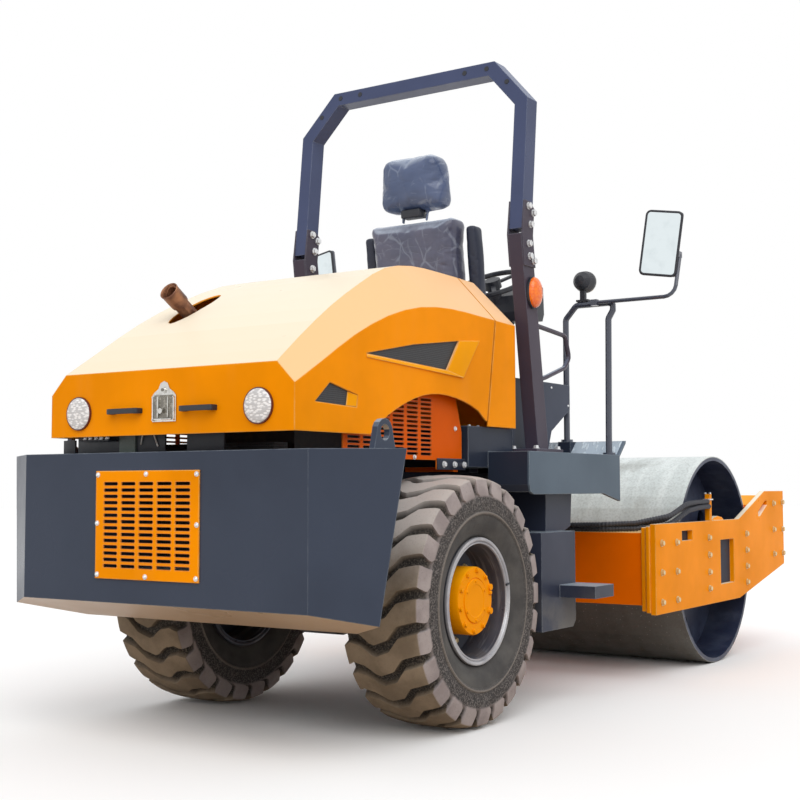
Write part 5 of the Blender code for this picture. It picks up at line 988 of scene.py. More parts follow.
class Shape:
    """One mesh in the making, shaped by bmesh operators in the design frame."""

    def __init__(self) -> None:
        """Start with an empty mesh."""
        self.bm = bmesh.new()

    def moved(self, verts: list[bmesh.types.BMVert], matrix: Matrix) -> list[bmesh.types.BMVert]:
        """Transform some vertices and return them."""
        bmesh.ops.transform(self.bm, matrix=matrix, verts=verts)
        return verts

    @staticmethod
    def facing(centre: Point, direction: Point) -> Matrix:
        """A frame at a centre whose Z axis points along a direction."""
        quaternion = Vector(direction).to_track_quat("Z", "Y")
        return Matrix.Translation(Vector(centre)) @ quaternion.to_matrix().to_4x4()

    def block(self, low: Point, high: Point, round_off: float = 0.0,
              segments: int = 2) -> list[bmesh.types.BMVert]:
        """Add a block between two corners, with its edges rounded.

        Args:
            low: The lower corner.
            high: The upper corner.
            round_off: The edges' rounding.
            segments: The steps in the rounding.

        Returns:
            Its vertices.
        """
        size = [high[i] - low[i] for i in range(3)]
        middle = [(high[i] + low[i]) / 2.0 for i in range(3)]
        verts = bmesh.ops.create_cube(self.bm, size=1.0)["verts"]
        self.moved(verts, Matrix.Translation(middle) @ Matrix.Diagonal((*size, 1.0)))
        return self.rounded(verts, round_off, segments) if round_off else verts

    def side_block(self, side: float, low: Point, high: Point, round_off: float = 0.0) -> None:
        """Add a block given on the left, on either side of the machine."""
        near, far = sorted((side * low[1], side * high[1]))
        self.block((low[0], near, low[2]), (high[0], far, high[2]), round_off)

    def rounded(self, verts: list[bmesh.types.BMVert], width: float,
                segments: int = 2) -> list[bmesh.types.BMVert]:
        """Round the edges between some vertices.

        Args:
            verts: The vertices.
            width: The rounding's width.
            segments: The steps in the rounding.

        Returns:
            The vertices after it.
        """
        chosen = set(verts)
        edges = {edge for vertex in verts for edge in vertex.link_edges if edge.other_vert(vertex) in chosen}
        others = set(self.bm.verts) - chosen
        bmesh.ops.bevel(self.bm, geom=list(edges), offset=width, segments=segments, affect="EDGES",
                        profile=0.5, material=-1)
        return [vertex for vertex in self.bm.verts if vertex not in others]

    def bar(self, centre: Point, direction: Point, radius: float, length: float, segments: int = 24,
            tip: float | None = None) -> list[bmesh.types.BMVert]:
        """Add a round or many-sided bar from a centre along a direction.

        Args:
            centre: The starting point.
            direction: The way that it points.
            radius: The radius.
            length: The length.
            segments: The number of sides.
            tip: The radius at the far end, where it differs.

        Returns:
            Its vertices.
        """
        made = bmesh.ops.create_cone(self.bm, cap_ends=True, segments=segments, radius1=radius,
                                     radius2=radius if tip is None else tip, depth=length)["verts"]
        return self.moved(made, self.facing(centre, direction) @ Matrix.Translation((0.0, 0.0, length / 2.0)))

    def turned(self, profile: Sequence[Point], centre: Point, direction: Point,
               segments: int = 48) -> list[bmesh.types.BMVert]:
        """Spin a closed profile of (along, radius) points about an axis through a centre.

        Args:
            profile: The section's points.
            centre: A point on the axis.
            direction: The axis.
            segments: The steps in a full turn.

        Returns:
            Its vertices.
        """
        verts = [self.bm.verts.new((radius, 0.0, along)) for along, radius in profile]
        edges = [self.bm.edges.new(pair) for pair in zip(verts, verts[1:] + verts[:1])]
        before = set(self.bm.verts) - set(verts)
        edges = [edge for edge in edges if max(vertex.co.x for vertex in edge.verts) > 1e-9]
        bmesh.ops.spin(self.bm, geom=verts + edges, cent=ORIGIN, axis=UP, angle=math.tau, steps=segments,
                       use_merge=True)
        made = [vertex for vertex in self.bm.verts if vertex not in before]
        bmesh.ops.remove_doubles(self.bm, verts=made, dist=1e-6)
        made = [vertex for vertex in self.bm.verts if vertex not in before]
        return self.moved(made, self.facing(centre, direction))

    def pressed(self, outline: Sequence[Point], axis: str, start: float, end: float,
                round_off: float = 0.0) -> list[bmesh.types.BMVert]:
        """Extrude an outline of the other two coordinates along an axis.

        Args:
            outline: The outline's points.
            axis: The axis, X, Y or Z.
            start: Where it starts.
            end: Where it ends.
            round_off: The edges' rounding.

        Returns:
            Its vertices.
        """
        at = "XYZ".index(axis)
        verts = []
        for pair in outline:
            point = list(pair)
            point.insert(at, start)
            verts.append(self.bm.verts.new(point))
        swept = bmesh.ops.extrude_face_region(self.bm, geom=[self.bm.faces.new(verts)])["geom"]
        moved = [item for item in swept if isinstance(item, bmesh.types.BMVert)]
        step = Vector(ORIGIN)
        step[at] = end - start
        bmesh.ops.translate(self.bm, verts=moved, vec=step)
        made = verts + moved
        return self.rounded(made, round_off) if round_off else made

    def swept(self, path: Sequence[Point], radius: float, sides: int = 12,
              swell: Callable[[int], float] | None = None) -> None:
        """Draw a round tube along a path, swelling it by swell(index) where that is given.

        Args:
            path: The path's points.
            radius: The radius.
            sides: The tube's sides.
            swell: The share of the radius at each point.
        """
        points = [Vector(point) for point in path]
        ring = bmesh.ops.create_circle(self.bm, cap_ends=True, radius=1.0, segments=sides)["verts"]
        face = ring[0].link_faces[0]
        last = Matrix.Identity(4)
        side = None
        for index, point in enumerate(points):
            ahead = points[min(index + 1, len(points) - 1)] - points[max(index - 1, 0)]
            ahead.normalize()
            if side is None:
                side = ahead.orthogonal().normalized()
            side = (side - ahead * side.dot(ahead)).normalized()
            across = ahead.cross(side)
            size = radius * (swell(index) if swell else 1.0)
            frame = Matrix((
                (side.x * size, across.x * size, ahead.x, point.x),
                (side.y * size, across.y * size, ahead.y, point.y),
                (side.z * size, across.z * size, ahead.z, point.z),
                (0.0, 0.0, 0.0, 1.0),
            ))
            if index:
                grown = bmesh.ops.extrude_face_region(self.bm, geom=[face])["geom"]
                ring = [item for item in grown if isinstance(item, bmesh.types.BMVert)]
                face = next(item for item in grown if isinstance(item, bmesh.types.BMFace))
            bmesh.ops.transform(self.bm, matrix=frame @ last.inverted(), verts=ring)
            last = frame

    def bolt(self, centre: Point, direction: Point, across: float = 0.020, height: float = 0.010,
             washer: float = 1.35) -> None:
        """Add a hexagon bolt head with its chamfer and washer.

        Args:
            centre: The middle of the seat.
            direction: The way that it points.
            across: The size across the flats.
            height: The height.
            washer: The washer's share of the size.
        """
        along = Vector(direction).normalized()
        base = Vector(centre)
        thin = height * 0.22
        self.bar(base, along, across * washer / 2.0, thin, 14)
        self.bar(base + along * thin, along, across / 1.8, height * 0.62, 6)
        self.bar(base + along * (thin + height * 0.62), along, across / 1.8, height * 0.16, 6, across / 2.3)

    def slot_rim(self, centre: Point, direction: Point, length: float, height: float, lip: float) -> None:
        """Add the rolled rim of a level, round-ended slot on a plate's face.

        Args:
            centre: The slot's middle on the face.
            direction: The way that the face looks, on the level.
            length: The slot's length from end to end.
            height: The slot's height.
            lip: The rim's width round the slot.
        """
        sides, raised = 12, 0.0008
        half_step = Matrix.Rotation(math.pi / sides, 4, "Z")
        outer = bmesh.ops.create_circle(self.bm, radius=height / 2.0 + lip, segments=sides,
                                        matrix=half_step)["verts"]
        edges = {edge for vertex in outer for edge in vertex.link_edges}
        grown = bmesh.ops.extrude_edge_only(self.bm, edges=list(edges))["geom"]
        inner = [item for item in grown if isinstance(item, bmesh.types.BMVert)]
        share = height / (height + 2.0 * lip)
        bmesh.ops.scale(self.bm, vec=(share, share, 1.0), verts=inner)
        both = outer + inner
        for vertex in both:
            vertex.co.y += math.copysign((length - height) / 2.0, vertex.co.y)
        faces = list({face for vertex in both for face in vertex.link_faces})
        swept = bmesh.ops.extrude_face_region(self.bm, geom=faces)["geom"]
        lifted = [item for item in swept if isinstance(item, bmesh.types.BMVert)]
        bmesh.ops.translate(self.bm, verts=lifted, vec=(0.0, 0.0, raised))
        axes = (Vector(UP), Vector(UP).cross(Vector(direction)), Vector(direction))
        stand = Matrix(axes).transposed().to_4x4()
        self.moved(both + lifted, Matrix.Translation(Vector(centre)) @ stand)

    def done(self, name: str, finish: Finish, body: Body, replaces: Iterable[str] = (),
             smooth: float = 38.0) -> bpy.types.Object:
        """Turn the shape into a finished piece on its body.

        Args:
            name: The piece's name.
            finish: Its finish.
            body: The body that it rides on.
            replaces: The CAD nodes that it stands for.
            smooth: The angle in degrees above which an edge stays sharp.

        Returns:
            The piece's object.
        """
        bmesh.ops.remove_doubles(self.bm, verts=self.bm.verts[:], dist=1e-6)
        bmesh.ops.recalc_face_normals(self.bm, faces=self.bm.faces[:])
        bmesh.ops.translate(self.bm, verts=self.bm.verts[:], vec=(-MIDDLE, 0.0, 0.0))
        mesh = bpy.data.meshes.new(name)
        self.bm.to_mesh(mesh)
        self.bm.free()
        mesh.shade_smooth()
        mesh.set_sharp_from_angle(angle=math.radians(smooth))
        mesh.materials.append(finish.material())
        piece = bpy.data.objects.new(name, mesh)
        bpy.context.scene.collection.objects.link(piece)
        return settle(piece, body, replaces)


def settle(piece: bpy.types.Object, body: Body, replaces: Iterable[str] = ()) -> bpy.types.Object:
    """Args:
        piece: The piece.
        body: The body that it rides on.
        replaces: The CAD nodes that it stands for.

    Returns:
        The same piece.
    """
    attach(piece, body.value)
    if replaces:
        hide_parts(*replaces)
    LOG.info("%s rides on %s: %d faces", piece.name, body.value, len(piece.data.polygons))
    return piece


def rounded_path(points: Sequence[Point], radius: float, steps: int = 6) -> list[Vector]:
    """Round each inner corner of a path with an arc.

    Args:
        points: The path's corners.
        radius: The arcs' reach along the path.
        steps: The steps in each arc.

    Returns:
        The rounded path.
    """
    path = [Vector(points[0])]
    for before, corner, after in zip(points, points[1:], points[2:]):
        corner = Vector(corner)
        back = (Vector(before) - corner).normalized()
        ahead = (Vector(after) - corner).normalized()
        half = back.angle(ahead) / 2.0
        reach = radius / math.tan(half)
        centre = corner + (back + ahead).normalized() * (radius / math.sin(half))
        start = corner + back * reach - centre
        end = corner + ahead * reach - centre
        path += [centre + start.slerp(end, step / steps) * radius for step in range(steps + 1)]
    return path + [Vector(points[-1])]


# Camera, light and floor


@dataclass
class Studio:
    """The camera at the photograph's angle, plain soft light and a pale floor."""

    lens: float = 58.80
    yaw: float = 33.419
    pitch: float = 3.829
    roll: float = -0.126
    place: Point = (-4.8655, -3.6196, 1.021)
    sky: float = 0.90
    sun: float = 1.10

    def camera(self) -> None:
        """Set the camera where the photograph was taken."""
        yaw, pitch, roll = (math.radians(angle) for angle in (self.yaw, self.pitch, self.roll))
        ahead = Vector((math.cos(pitch) * math.cos(yaw), math.cos(pitch) * math.sin(yaw), math.sin(pitch)))
        right = Vector((math.sin(yaw), -math.cos(yaw), 0.0))
        up = right.cross(ahead)
        across = right * math.cos(roll) + up * math.sin(roll)
        upward = up * math.cos(roll) - right * math.sin(roll)
        data = bpy.data.cameras.new("camera")
        data.lens = self.lens
        data.sensor_width = 36.0
        data.clip_start = 0.01
        data.clip_end = 200.0
        made = bpy.data.objects.new("camera", data)
        bpy.context.scene.collection.objects.link(made)
        spot = Vector(self.place) - Vector((MIDDLE, 0.0, 0.0))
        made.matrix_world = Matrix((
            (across.x, upward.x, -ahead.x, spot.x),
            (across.y, upward.y, -ahead.y, spot.y),
            (across.z, upward.z, -ahead.z, spot.z),
            (0.0, 0.0, 0.0, 1.0),
        ))
        bpy.context.scene.camera = made

    @staticmethod
    def seen(tree: Tree) -> object:
        """A mask that is 1 for camera, glossy and transmission rays.

        Args:
            tree: The tree that takes the nodes.

        Returns:
            The mask's socket.
        """
        rays = tree.node("LightPath").outputs
        both = tree.maths("MAXIMUM", rays["Is Camera Ray"], rays["Is Glossy Ray"])
        return tree.maths("MAXIMUM", both, rays["Is Transmission Ray"])

    def light(self) -> None:
        """Light the object at a plain level from the world and one wide sun."""
        world = bpy.data.worlds.new("studio")
        bpy.context.scene.world = world
        world.use_nodes = True
        tree = Tree(world.node_tree)
        back = world.node_tree.nodes["Background"]
        tree.put(back.inputs["Color"], (1.0, 1.0, 1.0))
        tree.put(back.inputs["Strength"], tree.span(self.seen(tree), 0.0, 1.0, self.sky, 1.0))
        lamp = bpy.data.lights.new("wide sun", "SUN")
        lamp.energy = self.sun
        lamp.angle = math.radians(50.0)
        made = bpy.data.objects.new("wide sun", lamp)
        made.matrix_world = Shape.facing((0.0, 0.0, 8.0), (-0.52, -0.50, 0.69))
        bpy.context.scene.collection.objects.link(made)

    def floor(self) -> None:
        """Lay the pale floor, which is darker only for the light that it sends back up."""
        bm = bmesh.new()
        bmesh.ops.create_circle(bm, cap_ends=True, radius=60.0, segments=64)
        mesh = bpy.data.meshes.new("floor")
        bm.to_mesh(mesh)
        bm.free()
        made = bpy.data.objects.new("floor", mesh)
        bpy.context.scene.collection.objects.link(made)
        material = bpy.data.materials.new("pale floor")
        material.use_nodes = True
        tree = Tree(material.node_tree)
        shader = material.node_tree.nodes["Principled BSDF"]
        colour = tree.mix(self.seen(tree), (0.56, 0.45, 0.35), (0.97, 0.97, 0.97))
        tree.put(shader.inputs["Base Color"], colour)
        shader.inputs["Roughness"].default_value = 1.0
        shader.inputs["Specular IOR Level"].default_value = 0.0
        mesh.materials.append(material)


# Wheels


@dataclass
class Tyre:
    """A rear tyre whose ring is spun from its section, then cut into wavy lugs."""

    side: float
    radius: float = 0.5375
    centre_y: float = 0.6425
    lugs: int = 24
    steps: int = 12
    depth: float = 0.031
    share: float = 0.64
    shoulder_share: float = 0.74
    half: Sequence[Point] = (
        (0.1500, 0.2560), (0.1500, 0.2722), (0.1600, 0.2800), (0.1640, 0.2880), (0.1680, 0.2960),
        (0.1800, 0.3180), (0.1895, 0.3420), (0.1925, 0.3620), (0.1990, 0.3700), (0.2005, 0.3760),
        (0.1945, 0.3830), (0.1965, 0.4000), (0.1968, 0.4250), (0.1968, 0.4480), (0.1955, 0.4600),
        (0.1925, 0.4740), (0.1890, 0.4880), (0.1855, 0.5020), (0.1820, 0.5140), (0.1800, 0.5195),
        (0.1650, 0.5248), (0.1450, 0.5290), (0.1200, 0.5322), (0.0950, 0.5344), (0.0700, 0.5358),
        (0.0450, 0.5367), (0.0220, 0.5373),
    )

    tread_half: float = 0.180
    shoulder: float = 0.432
    waves: Sequence[Point] = (
        (-1.0, 0.0), (-0.62, 0.10), (-0.15, 0.62), (0.15, 0.74), (0.55, 0.42), (0.80, 0.36), (1.0, 0.50),
    )
    phases: Sequence[Point] = (
        (0.0, 1.0), (0.025, 1.0), (0.27, 1.0), (0.50, 1.0), (0.73, 1.0), (0.975, 1.0),
        (1.0, 1.0), (1.16, 0.08), (1.34, 0.0), (1.52, 0.0), (1.70, 0.0), (1.86, 0.08),
    )

    @property
    def pitch(self) -> float:
        """The angle from one lug to the next."""
        return math.tau / self.lugs

    def wave(self, across: float) -> float:
        """How far round a lug is shifted at a place across the tread, in lug pitches.

        Args:
            across: The place, from -1 to 1.

        Returns:
            The shift.
        """
        for (low, first), (high, second) in zip(self.waves, self.waves[1:]):
            if across <= high:
                return first + (second - first) * eased((across - low) / (high - low))
        return self.waves[-1][1]

    def carve(self, vertex: bmesh.types.BMVert, reach: float, number: int) -> float:
        """Move a vertex of the spun casing to its place in a lug or a groove.

        Args:
            vertex: The vertex.
            reach: Its distance from the axle.
            number: The step round the tyre at which it stands.

        Returns:
            How deep in a groove it lies, from 0 to 1.
        """
        lug, step = divmod(number, self.steps)
        place, height = self.phases[step]
        fade = eased((reach - self.shoulder) / 0.034)
        share = self.share + (self.shoulder_share - self.share) * clamped((0.52 - reach) / 0.05)
        local = place * share if place <= 1.0 else share + (place - 1.0) * (1.0 - share)
        even = step / self.steps
        shift = self.wave(vertex.co.y / self.tread_half) if reach > self.shoulder - 0.002 else 0.0
        turn = (lug + even + (local - even) * fade + shift * fade) * self.pitch
        cut = (1.0 - height) * fade
        inward = cut * self.depth * clamped((reach - 0.470) / 0.045)
        tuck = cut * 0.013 * (1.0 - clamped((reach - 0.50) / 0.022))
        y = vertex.co.y - math.copysign(tuck, vertex.co.y)
        vertex.co = ((reach - inward) * math.cos(turn), y, (reach - inward) * math.sin(turn))
        return cut

    def build(self) -> bpy.types.Object:
        """Spin the casing, cut the lugs and finish the tyre.

        Returns:
            The piece.
        """
        shape = Shape()
        section = [*self.half, (0.0, self.radius), *((-y, reach) for y, reach in reversed(self.half))]
        count = self.lugs * self.steps
        shape.turned(section, ORIGIN, LEFT, count)
        lug_layer = shape.bm.verts.layers.float.new("lug")
        reach_layer = shape.bm.verts.layers.float.new("reach")
        verts = shape.bm.verts[:]
        for vertex in verts:
            reach = math.hypot(vertex.co.x, vertex.co.z)
            angle = math.atan2(vertex.co.z, vertex.co.x)
            number = round((angle % math.tau) / math.tau * count) % count
            vertex[lug_layer] = 1.0 - self.carve(vertex, reach, number)
            vertex[reach_layer] = reach
        if self.side > 0.0:
            shape.moved(verts, Matrix.Scale(-1.0, 4, LEFT))
        turn = Matrix.Rotation(math.radians(90.0) + self.share / 2.0 * self.pitch, 4, "Y")
        shape.moved(verts, Matrix.Translation((0.0, self.side * self.centre_y, self.radius)) @ turn)
        name = side_name("tyre", self.side)
        return shape.done(name + "_lugged", TYRE_RUBBER, wheel_body(self.side), [name], 30.0)


@dataclass
class Wheel:
    """The rolled rim with its lock ring, the dished disc and the bolted final-drive hub."""

    side: float
    axle_z: float = 0.5375
    middle_y: float = 0.6425
    lip_y: float = 0.8165
    disc_y: float = 0.6580
    disc_radius: float = 0.2338
    disc_bore: float = 0.1450
    hub_radius: float = 0.1475
    hub_face: float = 0.7950
    half_rim: Sequence[Point] = (
        (0.7928, 0.2548), (0.7932, 0.2680), (0.7990, 0.2700), (0.8075, 0.2715), (0.8135, 0.2695),
        (0.8160, 0.2650), (0.8160, 0.2600), (0.8135, 0.2560), (0.8090, 0.2545), (0.8068, 0.2520),
        (0.8100, 0.2490), (0.8105, 0.2450), (0.8060, 0.2425), (0.7960, 0.2415), (0.7820, 0.2395),
        (0.7700, 0.2370), (0.7560, 0.2360), (0.7300, 0.2345), (0.7000, 0.2330),
    )

    def finished(self, shape: Shape, stem: str, finish: Finish,
                 replaces: Iterable[str] = ()) -> None:
        """Turn a shape into a piece of this side's wheel."""
        shape.done(side_name(stem, self.side), finish, wheel_body(self.side), replaces)

    def turned(self, profile: Sequence[Point]) -> Shape:
        """A shape spun about the axle.

        Args:
            profile: The section's points.

        Returns:
            The shape.
        """
        shape = Shape()
        shape.turned(profile, (0.0, 0.0, self.axle_z), outward(self.side), 72)
        return shape

    def bolts(self, shape: Shape, places: Iterable[Point], y: float, across: float, height: float) -> None:
        """Set bolts at places round the axle, at a distance from the machine's middle."""
        for x, z in places:
            shape.bolt((x, self.side * y, self.axle_z + z), outward(self.side), across, height)

    def rim(self) -> None:
        """The rolled rim, and a black block in the split of its lock ring, which paints the shade in that
        gap.
        """
        back = [(2.0 * self.middle_y - y, reach) for y, reach in reversed(self.half_rim)]
        node = side_name("wheel_rim", self.side)
        self.finished(self.turned([*self.half_rim, *back]), "rolled_rim", SILVER, [node])
        # A black block stands in the lock ring's split as painted shade.
        split = Shape()
        verts = split.block((0.2380, -0.0042, -0.0060), (0.2685, 0.0042, 0.0010), 0.001)
        turn = Matrix.Rotation(math.radians(-13.0), 4, "Y")
        stand = Matrix(((1.0, 0.0, 0.0, 0.0), (0.0, 0.0, self.side, self.side * self.lip_y),
                        (0.0, 1.0, 0.0, 0.0), (0.0, 0.0, 0.0, 1.0)))
        split.moved(verts, Matrix.Translation((0.0, 0.0, self.axle_z)) @ turn @ stand)
        self.finished(split, "lock_ring_split", PLASTIC)

    def disc(self) -> None:
        """The dished disc inside the rim, in a dark paint that stands in for the shade deep in the wheel."""
        face, edge, bore = self.disc_y, self.disc_radius, self.disc_bore
        shape = self.turned([
            (face, bore), (face, 0.2150), (face + 0.008, 0.2260), (face + 0.010, edge), (face - 0.018, edge),
            (face - 0.018, bore),
        ])
        self.finished(shape, "wheel_disc", DISC_SHADE)

    def hub(self) -> None:
        """The final drive's housing with its ribbed cover, bolts and plugs."""
        face, wall = self.hub_face, self.hub_radius
        shape = self.turned([
            (0.506, 0.0), (0.506, wall - 0.004), (0.690, wall - 0.004), (0.694, wall - 0.010),
            (0.700, wall - 0.010), (0.704, wall - 0.002), (face - 0.010, wall - 0.002),
            (face - 0.004, wall - 0.006), (face - 0.003, 0.0985), (face - 0.007, 0.0965),
            (face - 0.007, 0.0945), (face, 0.0925), (face + 0.001, 0.0700), (face - 0.001, 0.0680),
            (face - 0.001, 0.0),
        ])
        self.bolts(shape, around(10, 0.128, 12.0), face - 0.003, 0.017, 0.008)
        self.bolts(shape, around(6, 0.083, 30.0), face - 0.003, 0.013, 0.008)
        for angle in (22.0, -22.0):
            x, z = around(1, 0.136, angle)[0]
            shape.bar((x, self.side * (face - 0.020), self.axle_z + z), outward(self.side), 0.014, 0.024, 20)
        self.finished(shape, "final_drive_hub", HUB_ORANGE)

    def build(self) -> None:
        """Make the rim, disc, hub and nuts."""
        self.rim()
        self.disc()
        self.hub()
        nuts = Shape()
        self.bolts(nuts, around(12, 0.186, 15.0), self.disc_y, 0.024, 0.016)
        self.finished(nuts, "wheel_nuts", GOLD)


# Seat


@dataclass
class SoftPad:
    """A padded seat part, swollen as cloth from a slightly smaller blank."""

    name: str
    node: bpy.types.Object
    finish: Finish
    voxel: float = 0.010
    cap: float = 0.016
    shrink: float = 0.010
    crown: float = 0.0
    fold: float = 0.0011
    frames: int = 20

    def blank(self) -> bpy.types.Object:
        """Make the pad's starting shape inside its CAD solid.

        Returns:
            The blank.
        """
        low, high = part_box(self.node.name)
        bm = bmesh.new()
        bm.from_mesh(self.node.data)
        bmesh.ops.remove_doubles(bm, verts=bm.verts[:], dist=1e-5)
        bmesh.ops.recalc_face_normals(bm, faces=bm.faces[:])
        centre = (low + high) / 2.0
        scale = [max(1.0 - 2.0 * self.shrink / part, 0.7) for part in high - low]
        move = Matrix.Translation(centre) @ Matrix.Diagonal((*scale, 1.0)) @ Matrix.Translation(-centre)
        bmesh.ops.transform(bm, matrix=move, verts=bm.verts[:])
        mesh = bpy.data.meshes.new(self.name)
        bm.to_mesh(mesh)
        bm.free()
        piece = bpy.data.objects.new(self.name, mesh)
        bpy.context.scene.collection.objects.link(piece)
        return piece

    @staticmethod
    def baked(piece: bpy.types.Object) -> None:
        """Apply the modifiers of a piece to its mesh.

        Args:
            piece: The piece.
        """
        graph = bpy.context.evaluated_depsgraph_get()
        mesh = bpy.data.meshes.new_from_object(piece.evaluated_get(graph))
        piece.modifiers.clear()
        old = piece.data
        piece.data = mesh
        bpy.data.meshes.remove(old)

    def swell(self, piece: bpy.types.Object) -> None:
        """Blow the blank up as cloth, and cap how far each point moves.

        Args:
            piece: The piece.
        """
        scene = bpy.context.scene
        start = [vertex.co.copy() for vertex in piece.data.vertices]
        cloth = piece.modifiers.new("cloth", "CLOTH")
        cloth.settings.use_pressure = True
        cloth.settings.uniform_pressure_force = 4.0
        cloth.settings.effector_weights.gravity = 0.0
        cloth.settings.quality = 5
        for frame in range(self.frames):
            scene.frame_set(frame + 1)
        self.baked(piece)
        scene.frame_set(1)
        for vertex, was in zip(piece.data.vertices, start):
            step = vertex.co - was
            if step.length > self.cap:
                vertex.co = was + step.normalized() * self.cap

    def crowned(self, piece: bpy.types.Object) -> None:
        """Draw the pad's sides in towards its top and pinch them a little at its foot.

        Args:
            piece: The piece.
        """
        low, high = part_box(self.node.name)
        middle, half = (low.z + high.z) / 2.0, (high.z - low.z) / 2.0
        for vertex in piece.data.vertices:
            share = (vertex.co.z - middle) / half
            draw = self.crown * max(share + 0.15, 0.0) ** 2 + self.crown * 0.35 * max(-share - 0.4, 0.0) ** 2
            vertex.co.y *= 1.0 - draw

    def build(self) -> bpy.types.Object:
        """Make the pad and settle it on the rear frame.

        Returns:
            The piece.
        """
        piece = self.blank()
        remesh = piece.modifiers.new("voxels", "REMESH")
        remesh.mode = "VOXEL"
        remesh.voxel_size = self.voxel
        self.baked(piece)
        self.swell(piece)
        smooth = piece.modifiers.new("smooth", "SMOOTH")
        smooth.iterations = 3
        self.baked(piece)
        if self.crown:
            self.crowned(piece)
        for vertex in piece.data.vertices:
            ridge = noise.ridged_multi_fractal(vertex.co * 11.0, 1.0, 2.0, 2, 1.0, 1.5)
            vertex.co += vertex.normal * self.fold * (ridge - 0.8)
        detail = piece.modifiers.new("detail", "SUBSURF")
        detail.levels = 1
        detail.render_levels = 1
        self.baked(piece)
        piece.data.shade_smooth()
        piece.data.materials.clear()
        piece.data.materials.append(self.finish.material())
        settle(piece, Body.REAR, [self.node.name])
        return piece


@dataclass
class Seat:
    """The operator's seat: its pads, with the wrapped film, and the headrest's stem."""

    nodes: dict[str, bpy.types.Object]
    stem: tuple[Point, Point] = ((0.716, -0.058, 2.408), (0.786, 0.058, 2.452))

    def pad(self, name: str, node: str, finish: Finish, **sizes: float) -> None:
        """Make one soft pad in place of its CAD node."""
        SoftPad(name, self.nodes[node], finish, **sizes).build()

    def build(self) -> None:
        """Make the soft pads and what stands between them."""
        self.pad("cushion_padded", "seat_cushion", VINYL)
        self.pad("backrest_padded", "seat_back", VINYL, voxel=0.009, cap=0.026, shrink=-0.009)
        self.pad("headrest_padded", "headrest", HEAD_VINYL, voxel=0.008, cap=0.026, shrink=-0.009, crown=0.11)
        stem = Shape()
        stem.block(*self.stem, 0.008, 3)
        stem.done("headrest_stem", PLASTIC, Body.REAR)
        for side in SIDES:
            node = side_name("armrest", side)
            self.pad(node + "_padded", node, ARM_VINYL, voxel=0.006, cap=0.010, shrink=0.002)


# Hood fittings


